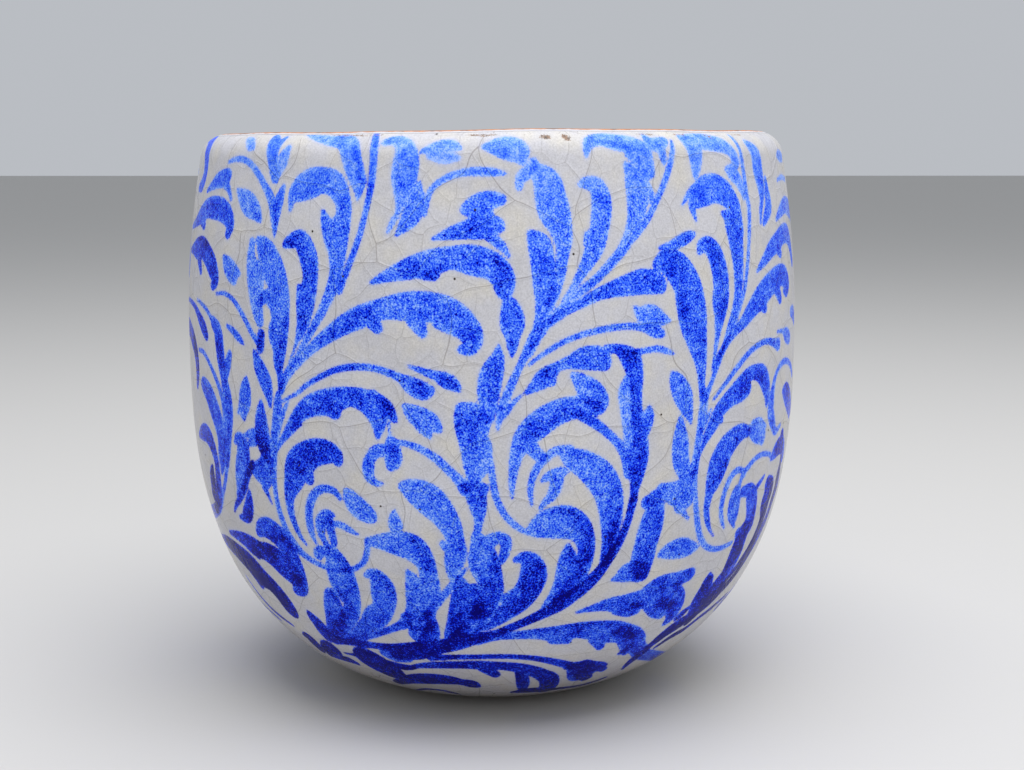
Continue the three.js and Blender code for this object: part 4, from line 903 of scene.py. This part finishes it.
def turned(name, section, node, material, lift=None, sharp=40, bare=None):
    """A solid of revolution about +Z from a closed section, whose ends may both lie on the axis.

    lift gives how many mm the rim is raised at each angle, sharp is the angle in degrees past which
    an edge isn't smoothed over, and bare says how worn each point of the section is, from 0 to 1.
    """
    section = np.array(section, float)
    points = around(section, TURNS)
    if lift is not None:
        degrees = np.linspace(0, 360, TURNS, endpoint=False)
        points[..., 2] += lift(degrees)[:, None] * (section[:, 1] > LIP_Z)
    count = len(section)
    index = np.arange(TURNS * count).reshape(TURNS, count)
    on_axis = section[0, 0] == 0
    if on_axis:
        index[:, 0] = index[0, 0]
        index[:, -1] = index[0, -1]
    faces = []
    for here, there in zip(index, np.roll(index, -1, axis=0)):
        for i in range(count - 1 if on_axis else count):
            j = (i + 1) % count
            corners = here[i], there[i], there[j], here[j]
            faces.append(list(dict.fromkeys(map(int, corners))))  # at the axis two corners are one
    mesh = bpy.data.meshes.new(name)
    mesh.from_pydata((points.reshape(-1, 3) * MM).tolist(), [], faces)
    if bare is not None:
        layer = mesh.attributes.new("bare", "FLOAT", "POINT")
        layer.data.foreach_set("value", np.tile(bare, TURNS))
    if on_axis:
        drop_loose(mesh)
    mesh.shade_smooth()
    mesh.set_sharp_from_angle(angle=math.radians(sharp))
    unroll(mesh)
    new_object(name, mesh, node, material)


def rim_wave(degrees):
    """How much higher the hand-made rim stands at an angle: it tilts, and it is a little uneven."""
    a = np.radians(degrees)
    return 0.6 * np.sin(a) + 0.3 * np.sin(2 * a + 1) + 0.2 * np.sin(5 * a + 0.5) + 0.1 * np.sin(13 * a)


def body_wave(degrees, up):
    """How far the hand-made wall swells out, dying away at the foot and the lip."""
    a = np.radians(degrees)[None, :]
    s = up[:, None]
    wave = np.sin(3 * a + s / 40) + np.sin(7 * a - s / 23) + 0.6 * np.sin(13 * a + s / 11)
    wave += 0.4 * np.sin(s / 7 + 4 * np.sin(a))
    fade = step_up(s, *WALL_EVEN_BELOW) * (1 - step_up(s, *WALL_EVEN_ABOVE))
    return WALL_SWELL / 2 * (1 + wave / 3) * fade


def coat_sides(line, heights, chip):
    """The outer coat's face and its hidden side, as grids of points, row by column."""
    low, top = heights[0], heights[-1]
    full = step_up(heights, low, low + EDGE_TAPER) * (1 - step_up(heights, top - EDGE_TAPER, top))
    thickness = GLAZE * (EDGE_SHARE + (1 - EDGE_SHARE) * full)
    face = around(line, COLUMNS).transpose(1, 0, 2)
    hidden = around(inward(line, thickness), COLUMNS).transpose(1, 0, 2)
    degrees = np.arange(COLUMNS) * 360 / COLUMNS
    out = np.stack([np.sin(np.radians(degrees)), -np.cos(np.radians(degrees))], axis=-1)
    swell = body_wave(degrees, heights)
    lift = rim_wave(degrees)[None, :] * step_up(heights, *RIM_WAVE_FROM)[:, None]
    dent = (CHIP_SHARE * thickness)[:, None] * step_up(chip, *CHIP_EDGE)
    for grid, offset in ((face, swell - dent), (hidden, swell)):
        grid[..., :2] += out * offset[..., None]
        grid[..., 2] += lift
    return face, hidden


def quads(index):
    """The faces of a grid of vertices."""
    corners = np.stack([index[:-1, :-1], index[:-1, 1:], index[1:, 1:], index[1:, :-1]], axis=-1)
    return corners.reshape(-1, 4).tolist()


def hem(fine, coarse):
    """Faces that join a fine edge to a coarse one, one face for each step of the coarse edge."""
    faces = []
    for i in range(len(coarse) - 1):
        stretch = fine[i * COARSE : (i + 1) * COARSE + 1]
        faces.append([*stretch[::-1].tolist(), int(coarse[i]), int(coarse[i + 1])])
    return faces


def gore(name, face, hidden, normals, values, material):
    """One closed shell of the outer coat, with a fine painted face and a coarse hidden one."""
    fine = np.arange(face[..., 0].size).reshape(face.shape[:2])
    coarse = fine.size + np.arange(hidden[..., 0].size).reshape(hidden.shape[:2])
    faces = quads(fine) + quads(coarse[:, ::-1])
    faces += hem(fine[0, ::-1], coarse[0, ::-1])
    faces += hem(fine[-1], coarse[-1])
    faces += hem(fine[:, 0], coarse[:, 0])
    faces += hem(fine[::-1, -1], coarse[::-1, -1])
    mesh = bpy.data.meshes.new(name)
    points = np.vstack([face.reshape(-1, 3), hidden.reshape(-1, 3)])
    mesh.from_pydata((points * MM).tolist(), [], faces)
    mesh.shade_smooth()
    facing = np.vstack([normals.reshape(-1, 3), -normals[::COARSE, ::COARSE].reshape(-1, 3)])
    mesh.normals_split_custom_set_from_vertices(facing.tolist())
    for label, value in values.items():
        layer = mesh.attributes.new(label, "FLOAT", "POINT")
        unpainted = np.full(coarse.size, value.min())
        layer.data.foreach_set("value", np.concatenate([value.ravel(), unpainted]))
    unroll(mesh)
    new_object(name, mesh, "outer_glaze", material)


def outer_glaze(material):
    """The outer coat in gores, edge to edge, the first of them at the front."""
    dense = skin_line(*SKIN_STEPS, start=0)
    up = lengths(dense)
    low = np.interp(bowl_line(BOWL_START)[0, 1], dense[:, 1], up)
    heights = np.linspace(low, up[-1], ROWS)
    line = np.column_stack([np.interp(heights, up, column) for column in dense.T])
    values = paint(Chart(heights))
    face, hidden = coat_sides(line, heights, values["chip"])
    across = np.roll(face, -1, axis=1) - np.roll(face, 1, axis=1)
    normals = np.cross(across, np.gradient(face, axis=0))
    normals /= np.linalg.norm(normals, axis=-1, keepdims=True)
    for number in range(GORES):
        first = number * GORE_COLUMNS - GORE_COLUMNS // 2
        columns = (first + np.arange(GORE_COLUMNS + 1)) % COLUMNS
        gore(
            f"outer_glaze_{number + 1}",
            face[:, columns],
            hidden[::COARSE, columns[::COARSE]],
            normals[:, columns],
            {label: value[:, columns] for label, value in values.items()},
            material,
        )


WALL = skin_line(*WALL_STEPS)
WALL_OUTSIDE = inward(WALL, COAT)
WALL_INSIDE = inward(WALL, COAT + CLAY)
LIP_FACE_R = CROWN_R - CROWN_INNER_R


def clay_wall(material):
    section = [*WALL_OUTSIDE, *WALL_INSIDE[::-1]]
    turned("clay_wall_fine", section, "clay_wall", material)


def clay_floor(material):
    """A slab whose edge runs parallel to the wall's lower end."""
    under, top = WALL_OUTSIDE[0], WALL_INSIDE[0]
    section = [(0, under[1]), (under[0] - GAP, under[1]), (top[0] - GAP, top[1]), (0, top[1])]
    turned("clay_floor_fine", section, "clay_floor", material)


def foot_ring(material):
    top = WALL_OUTSIDE[0, 1] - GAP
    turns = np.linspace(0, math.pi / 2, CHAMFER_POINTS)
    outer = arc(FOOT_OUTER_R - FOOT_CHAMFER, FOOT_CHAMFER, FOOT_CHAMFER, turns - math.pi / 2)
    inner = arc(FOOT_INNER_R + FOOT_CHAMFER, FOOT_CHAMFER, FOOT_CHAMFER, turns + math.pi)
    section = [*outer, (FOOT_OUTER_R, top), (FOOT_INNER_R, top), *inner]
    turned("foot_ring_fine", section, "foot_ring", material)


def clay_lip(material):
    """The glazed part is as far under the skin as the wall is; the bare crown is the skin itself."""
    start = LIP_LEAN + GAP / (LIP_R - COAT)
    glazed = lip_line(np.linspace(start, GLAZE_STOP, GLAZED_POINTS), LIP_R - COAT)
    bare = lip_line(np.linspace(GLAZE_STOP + GAP / LIP_R, math.pi / 2, BARE_POINTS), LIP_R)
    turns = np.linspace(math.pi / 2, math.pi, CROWN_POINTS)[1:]
    crown = arc(CROWN_R, HEIGHT - CROWN_INNER_R, CROWN_INNER_R, turns)
    face = [(LIP_FACE_R, LIP_FACE_Z), WALL_INSIDE[-1] + (0, GAP)]
    section = np.array([*glazed, *bare, *crown, *face])
    worn = step_up(section[:, 1], HEIGHT - WEAR_START, HEIGHT - WEAR_FULL)
    turned("clay_lip_fine", section, "clay_lip", material, lift=rim_wave, sharp=50, bare=worn)


def inner_glaze(material):
    """A cup: over the slab, up the wall and up the inner face of the lip."""
    floor_z = WALL_INSIDE[0, 1]
    line = np.vstack([WALL_INSIDE, [(LIP_FACE_R, LIP_FACE_Z), (LIP_FACE_R, HEIGHT - CROWN_INNER_R)]])
    near, far = inward(line, GAP), inward(line, COAT)
    near[0, 1] = floor_z + GAP
    far[0, 1] = floor_z + COAT
    section = [(0, floor_z + GAP), *near, *far[::-1], (0, floor_z + COAT)]
    turned("inner_glaze_fine", section, "inner_glaze", material, lift=rim_wave)


# ---------------------------------------------------------------------------------------------------
# Materials


NOISE_LOW, NOISE_HIGH = 0.3, 0.7  # nearly all of Blender's noise lies between these


class Shader:
    """A material's node tree, with one short method for each kind of node that the materials use."""

    def __init__(self, name, **fixed):
        self.material = bpy.data.materials.new(name)
        self.material.use_nodes = True
        self.tree = self.material.node_tree
        self.surface = self.tree.nodes["Principled BSDF"]
        for socket, value in fixed.items():
            self.surface.inputs[socket.replace("_", " ")].default_value = value
        where = self.tree.nodes.new("ShaderNodeTexCoord").outputs["Object"]
        scaled = self.tree.nodes.new("ShaderNodeVectorMath")
        scaled.operation = "SCALE"
        self.tree.links.new(where, scaled.inputs[0])
        scaled.inputs["Scale"].default_value = 1 / MM
        self.place = scaled.outputs["Vector"]

    def height(self):
        """The height above the ground in mm."""
        node = self.tree.nodes.new("ShaderNodeSeparateXYZ")
        self.tree.links.new(self.place, node.inputs[0])
        return node.outputs["Z"]

    def join(self, value, socket):
        """Links an output to a socket, or sets the socket to a plain value."""
        if isinstance(value, bpy.types.NodeSocket):
            self.tree.links.new(value, socket)
        else:
            socket.default_value = value

    def set(self, name, value):
        self.join(value, self.surface.inputs[name])

    def attribute(self, name, output="Fac"):
        node = self.tree.nodes.new("ShaderNodeAttribute")
        node.attribute_name = name
        return node.outputs[output]

    def math(self, operation, *values, clamp=False):
        node = self.tree.nodes.new("ShaderNodeMath")
        node.operation = operation
        node.use_clamp = clamp
        for value, socket in zip(values, node.inputs):
            self.join(value, socket)
        return node.outputs[0]

    def total(self, *values):
        result = values[0]
        for value in values[1:]:
            result = self.math("ADD", result, value)
        return result

    def noise(self, size, detail=2.0, roughness=0.5, low=0.0, high=1.0):
        """Noise with features of about size mm, spread over low to high."""
        node = self.tree.nodes.new("ShaderNodeTexNoise")
        node.inputs["Scale"].default_value = 1 / size
        node.inputs["Detail"].default_value = detail
        node.inputs["Roughness"].default_value = roughness
        self.tree.links.new(self.place, node.inputs["Vector"])
        return self.spread(node.outputs["Fac"], NOISE_LOW, NOISE_HIGH, low, high)

    def spread(self, value, from_low, from_high, low, high, kind="LINEAR"):
        """The value, with the stretch between the first two limits spread over the last two."""
        node = self.tree.nodes.new("ShaderNodeMapRange")
        node.interpolation_type = kind
        limits = {"From Min": from_low, "From Max": from_high, "To Min": low, "To Max": high}
        for name, number in limits.items():
            node.inputs[name].default_value = number
        self.join(value, node.inputs["Value"])
        return node.outputs["Result"]

    def rise(self, value, low, high):
        """0 below low and 1 above high, with a smooth rise between them."""
        return self.spread(value, low, high, 0, 1, kind="SMOOTHSTEP")

    def mix(self, share, first, second, kind="MIX"):
        node = self.tree.nodes.new("ShaderNodeMix")
        node.data_type = "RGBA"
        node.blend_type = kind
        self.join(share, node.inputs["Factor"])
        for colour, name in ((first, "A"), (second, "B")):
            socket = next(s for s in node.inputs if s.name == name and s.type == "RGBA")
            self.join((*colour, 1) if isinstance(colour, tuple) else colour, socket)
        return next(s for s in node.outputs if s.type == "RGBA")

    def ramp(self, value, stops):
        node = self.tree.nodes.new("ShaderNodeValToRGB")
        points = node.color_ramp.elements
        while len(points) < len(stops):
            points.new(1)
        for point, (position, colour) in zip(points, stops):
            point.position = position
            point.color = (*colour, 1)
        self.join(value, node.inputs["Fac"])
        return node.outputs["Color"]

    def wandering(self, size, amount, stretch):
        """The unrolled place pushed about by noise and narrowed across by the stretch.

        Lines drawn with it wander by amount mm, and cells drawn with it are stretched sideways.
        """
        node = self.tree.nodes.new("ShaderNodeTexNoise")
        node.inputs["Scale"].default_value = 1 / size
        node.inputs["Detail"].default_value = 1
        self.tree.links.new(self.place, node.inputs["Vector"])
        pushed = self.tree.nodes.new("ShaderNodeVectorMath")
        pushed.operation = "MULTIPLY_ADD"
        self.tree.links.new(node.outputs["Color"], pushed.inputs[0])
        pushed.inputs[1].default_value = (amount,) * 3
        self.tree.links.new(self.attribute("unrolled", "Vector"), pushed.inputs[2])
        narrowed = self.tree.nodes.new("ShaderNodeVectorMath")
        narrowed.operation = "MULTIPLY"
        self.tree.links.new(pushed.outputs["Vector"], narrowed.inputs[0])
        narrowed.inputs[1].default_value = (1 / stretch, 1, 1)
        return narrowed.outputs["Vector"]

    def cells(self, feature, cell, place):
        node = self.tree.nodes.new("ShaderNodeTexVoronoi")
        node.voronoi_dimensions = "2D"
        node.feature = feature
        node.inputs["Scale"].default_value = 1 / cell
        self.tree.links.new(place, node.inputs["Vector"])
        return node

    def cracks(self, cell, width, stretch=1.0):
        """A net of lines of about width mm round cells of about cell mm: 1 on a line, 0 off it."""
        node = self.cells("DISTANCE_TO_EDGE", cell, self.wandering(cell, cell * 0.6, stretch))
        half = width / cell / 2
        return self.spread(node.outputs["Distance"], half * 0.4, half * 1.6, 1, 0, kind="SMOOTHSTEP")

    def specks(self, cell, size, share):
        """Dots of up to size mm, on a share of the cells of about cell mm."""
        node = self.cells("F1", cell, self.attribute("unrolled", "Vector"))
        radius = size / cell / 2
        dot = self.spread(node.outputs["Distance"], radius * 0.5, radius * 1.3, 1, 0, kind="SMOOTHSTEP")
        pick = self.math("LESS_THAN", node.outputs["Color"], share)
        return self.math("MULTIPLY", dot, pick)

    def bump(self, height, depth):
        """Lets a height from 0 to 1 raise the surface by depth mm."""
        node = self.tree.nodes.new("ShaderNodeBump")
        node.inputs["Distance"].default_value = depth * MM
        self.join(height, node.inputs["Height"])
        self.set("Normal", node.outputs["Normal"])


# Colours, in Blender's linear red, green and blue
TIN_WHITE = (0.55, 0.545, 0.575)
TIN_GREY = (0.49, 0.483, 0.505)
TIN_CREAM = (0.57, 0.545, 0.50)
CRACK_TINT = (0.45, 0.42, 0.40)
SPECK = (0.03, 0.02, 0.015)
CHIP_BROWN = (0.36, 0.24, 0.17)
CHIP_GREY = (0.13, 0.115, 0.105)
# the tint that darkens the foot: partly dirt, partly painted shade
FOOT_DIRT_AND_SHADE = (0.31, 0.27, 0.245)
CLAY_LIGHT, CLAY_DARK = (0.50, 0.22, 0.12), (0.38, 0.15, 0.08)
WORN_CLAY_LIGHT, WORN_CLAY_DARK = (0.58, 0.27, 0.15), (0.40, 0.17, 0.09)
LIP_CLAY_LIGHT, LIP_CLAY_DARK = (0.62, 0.27, 0.12), (0.34, 0.13, 0.06)
# dark patches on the clay: grime, and partly painted shade
CLAY_GRIME_AND_SHADE = (0.10, 0.075, 0.055)
LIP_GRIME = (0.09, 0.075, 0.065)
GRIT = (0.62, 0.5, 0.4)
AZURE_HALO = (0.30, 0.42, 0.90)
COBALT = (
    (0.0, (0.33, 0.48, 0.95)),
    (0.2, (0.16, 0.33, 0.93)),
    (0.4, (0.073, 0.20, 0.90)),
    (0.55, (0.026, 0.12, 0.90)),
    (0.7, (0.006, 0.048, 0.87)),
    (0.82, (0.001, 0.014, 0.76)),
    (0.92, (0.001, 0.003, 0.48)),
    (1.0, (0.001, 0.001, 0.16)),
)

IOR = 1.45  # of glaze and clay alike
SMALL_CELL, LARGE_CELL = 11, 26  # sizes of the two nets of the crackle
CRACK_WIDTH = 0.24  # of the dark line
CRACK_LIPS = 1.1  # from one raised lip of a crack to the other
PINHOLES = 7, 0.9, 0.12  # size of their cells, their own size and the share of the cells that have one
RELIEF = 0.12  # how far the glaze's surface rises and falls


def darken(shader, share, colour, tint):
    """The colour multiplied by the tint, by the share given."""
    return shader.mix(share, colour, shader.mix(1.0, colour, tint, kind="MULTIPLY"))


def glaze_ground(shader):
    """Crackled tin glaze: its colour, where its cracks are, and where their lips stand up."""
    colour = shader.mix(shader.noise(28, detail=3), TIN_GREY, TIN_WHITE)
    colour = shader.mix(shader.noise(13, detail=3, low=-0.5, high=0.9), colour, TIN_CREAM)
    grain = shader.noise(0.6, detail=1, low=0.9, high=1.1)
    colour = shader.mix(1.0, colour, grain, kind="MULTIPLY")
    patchy = shader.noise(20, detail=2, low=0.15, high=0.9)

    def net(width):
        fine = shader.math("MULTIPLY", shader.cracks(SMALL_CELL, width), patchy)
        long = shader.cracks(LARGE_CELL, width, stretch=1.5)
        return shader.math("MAXIMUM", fine, long)

    return colour, net(CRACK_WIDTH), net(CRACK_LIPS)


def painted_glaze():
    """The outer coat: cobalt under a crackled glaze, darkened towards the foot by dirt and painted shade,
    and chipped at the lip.
    """
    shader = Shader("painted_glaze", Roughness=0.2, IOR=IOR, Specular_IOR_Level=0.04)
    ground, crack, lip = glaze_ground(shader)
    grain = shader.noise(0.62, detail=2, roughness=0.6, low=-0.5, high=0.5)
    streak = shader.noise(2.6, detail=3, low=-0.5, high=0.5)
    blotch = shader.noise(9, detail=2, low=-0.5, high=0.5)

    # The blue's edge, made ragged by the grain, has a pale halo outside it and more pigment inside it
    depth = shader.attribute("edge")
    edge = shader.math("MULTIPLY_ADD", grain, 0.4, depth)
    inside = shader.rise(edge, -0.3, 0.4)
    halo = shader.math("MULTIPLY", shader.rise(edge, -1.6, 0.2), 0.2)
    fringe = shader.rise(depth, 0.2, 1.6)

    # How much pigment there is, which picks the blue from the ramp: it is darkest on the bowl, and
    # paler and less grainy towards the lip. Low on the bowl it is deepened further as painted shade.
    graininess = shader.spread(shader.height(), 195, 220, 0.95, 0.5)
    tone = shader.total(
        shader.math("MULTIPLY", shader.attribute("pigment"), 0.9),
        shader.math("MULTIPLY", shader.attribute("pool"), 0.6),
        shader.math("MULTIPLY", grain, graininess),
        shader.math("MULTIPLY", streak, 0.32),
        shader.math("MULTIPLY", blotch, 0.22),
        shader.math("MULTIPLY", fringe, 0.16),
        # painted shade: the blue deepens towards the foot
        shader.spread(shader.height(), 10, 80, 0.27, 0),
        shader.spread(shader.height(), 190, 222, 0, -0.1),
        -0.12,
    )
    blue = shader.ramp(shader.math("ADD", tone, 0, clamp=True), COBALT)
    colour = shader.mix(halo, ground, AZURE_HALO)
    colour = shader.mix(inside, colour, blue)
    colour = darken(shader, shader.math("MULTIPLY", crack, 0.6), colour, CRACK_TINT)
    colour = shader.mix(shader.specks(*PINHOLES), colour, SPECK)
    # Darker towards the foot: partly dirt, partly painted shade
    dirt_and_painted_shade = shader.spread(shader.height(), 3, 34, 0.75, 0)
    colour = darken(shader, dirt_and_painted_shade, colour, FOOT_DIRT_AND_SHADE)

    # The chips, whose rough bottoms show the clay
    chip = shader.rise(shader.math("MULTIPLY_ADD", grain, 1.1, shader.attribute("chip")), -0.2, 0.3)
    colour = shader.mix(chip, colour, shader.mix(shader.noise(1.2), CHIP_GREY, CHIP_BROWN))
    shader.set("Base Color", colour)
    shader.set("Roughness", shader.math("MULTIPLY_ADD", chip, 0.5, shader.noise(14, low=0.15, high=0.26)))
    shader.bump(shader.math("MULTIPLY_ADD", lip, 0.8, shader.noise(5, detail=2)), RELIEF)
    return shader.material


def plain_glaze():
    """The coat inside: crackled, but not painted."""
    shader = Shader("plain_glaze", Roughness=0.2, IOR=IOR, Specular_IOR_Level=0.2)
    ground, crack, lip = glaze_ground(shader)
    colour = darken(shader, shader.math("MULTIPLY", crack, 0.45), ground, CRACK_TINT)
    colour = shader.mix(shader.specks(*PINHOLES), colour, SPECK)
    shader.set("Base Color", colour)
    shader.set("Roughness", shader.noise(14, low=0.16, high=0.3))
    shader.bump(shader.math("MULTIPLY_ADD", lip, 0.5, shader.noise(6)), RELIEF)
    return shader.material


def bare_clay(name, light, dark, dirt_and_painted_shade):
    """Fired clay with pale grit, dark patches of grime and painted shade as strong as the share given, and
    soil and painted shade near the ground.
    """
    shader = Shader(name, Roughness=0.85, IOR=IOR, Specular_IOR_Level=0.3)
    colour = shader.mix(shader.noise(4, detail=4, roughness=0.65), dark, light)
    # Dark patches: grime, and at a high share painted shade
    grime = shader.rise(shader.noise(7, detail=3), 0.4, 0.8)
    colour = shader.mix(shader.math("MULTIPLY", grime, dirt_and_painted_shade), colour, CLAY_GRIME_AND_SHADE)
    colour = shader.mix(shader.specks(2.5, 0.7, 0.4), colour, GRIT)
    # Darker near the ground: soil and painted shade
    soil_and_painted_shade = shader.spread(shader.height(), 2, 12, 0.9, 0)
    colour = darken(shader, soil_and_painted_shade, colour, FOOT_DIRT_AND_SHADE)
    shader.set("Base Color", colour)
    shader.set("Roughness", shader.noise(3, low=0.7, high=0.95))
    shader.bump(shader.noise(0.8, detail=4, roughness=0.7), 0.25)
    return shader.material


def worn_lip():
    """The lip's crown: a thin wash of glaze, worn through to the clay along the very top."""
    shader = Shader("worn_lip", Roughness=0.5, IOR=IOR, Specular_IOR_Level=0.1)
    clay = shader.mix(shader.noise(2, detail=3), LIP_CLAY_DARK, LIP_CLAY_LIGHT)
    grime = shader.rise(shader.noise(6, detail=3), 0.55, 0.8)
    clay = shader.mix(shader.math("MULTIPLY", grime, 0.6), clay, LIP_GRIME)
    wander = shader.noise(5, detail=3, low=-0.5, high=0.5)
    ragged = shader.math("MULTIPLY_ADD", wander, 0.9, shader.attribute("bare"))
    colour = shader.mix(shader.rise(ragged, 0.4, 0.6), TIN_WHITE, clay)
    shader.set("Base Color", colour)
    shader.bump(shader.noise(1.2, detail=3), 0.15)
    return shader.material


# ---------------------------------------------------------------------------------------------------
# The studio, in metres

CAMERA_PLACE = (0, -0.7118, 0.2227)
CAMERA_LENS = 59.77
CAMERA_DOWN = 8.02  # how many degrees the camera looks down, and to the pot's right
CAMERA_RIGHT = 0.664
FLOOR_COLOUR = (0.55, 0.54, 0.52, 1)
FLOOR_HALF = 12
SKY_COLOUR = (0.72, 0.75, 0.8, 1)
SKY_STRENGTH = 0.68


def place_camera():
    """The viewer stands a little below the rim's height, looking down a little."""
    camera = bpy.data.objects.new("camera", bpy.data.cameras.new("camera"))
    bpy.context.scene.collection.objects.link(camera)
    camera.data.lens = CAMERA_LENS
    camera.data.clip_start = 0.01
    tilt = Matrix.Rotation(math.radians(90 - CAMERA_DOWN), 4, "X")
    pan = Matrix.Rotation(math.radians(-CAMERA_RIGHT), 4, "Z")
    camera.matrix_world = Matrix.Translation(CAMERA_PLACE) @ pan @ tilt
    bpy.context.scene.camera = camera


def soft_light(name, energy, size, place, colour=(1, 1, 1)):
    """A square softbox that faces the middle of the pot."""
    data = bpy.data.lights.new(name, "AREA")
    data.energy = energy
    data.size = size
    data.color = colour
    light = bpy.data.objects.new(name, data)
    bpy.context.scene.collection.objects.link(light)
    middle = (cad_box[0] + cad_box[1]) / 2
    light.location = place
    light.rotation_euler = (middle - light.location).to_track_quat("-Z", "Y").to_euler()


def pale_floor():
    side = (-FLOOR_HALF, FLOOR_HALF)
    mesh = bpy.data.meshes.new("floor")
    mesh.from_pydata([(x, y, 0) for x in side for y in side], [], [(0, 2, 3, 1)])
    floor = bpy.data.objects.new("floor", mesh)
    bpy.context.scene.collection.objects.link(floor)
    shader = Shader("pale_floor", Roughness=0.9, Base_Color=FLOOR_COLOUR)
    mesh.materials.append(shader.material)


def studio():
    place_camera()
    pale_floor()
    soft_light("overhead", energy=37, size=1.8, place=(0.16, -0.3, 1.7), colour=(0.98, 0.98, 1))
    soft_light("front", energy=13, size=2.8, place=(0.4, -1.9, 0.9))
    world = bpy.data.worlds.new("studio")
    world.use_nodes = True
    sky = world.node_tree.nodes["Background"]
    sky.inputs["Color"].default_value = SKY_COLOUR
    sky.inputs["Strength"].default_value = SKY_STRENGTH
    bpy.context.scene.world = world
    bpy.context.scene.view_settings.view_transform = "Standard"


studio()
clay = bare_clay("clay", CLAY_LIGHT, CLAY_DARK, 0.2)
# the foot ring and floor get strong dark patches, partly painted shade under the bowl
worn_clay = bare_clay("worn_clay", WORN_CLAY_LIGHT, WORN_CLAY_DARK, 0.7)
clay_wall(clay)
clay_floor(worn_clay)
foot_ring(worn_clay)
clay_lip(worn_lip())
inner_glaze(plain_glaze())
outer_glaze(painted_glaze())
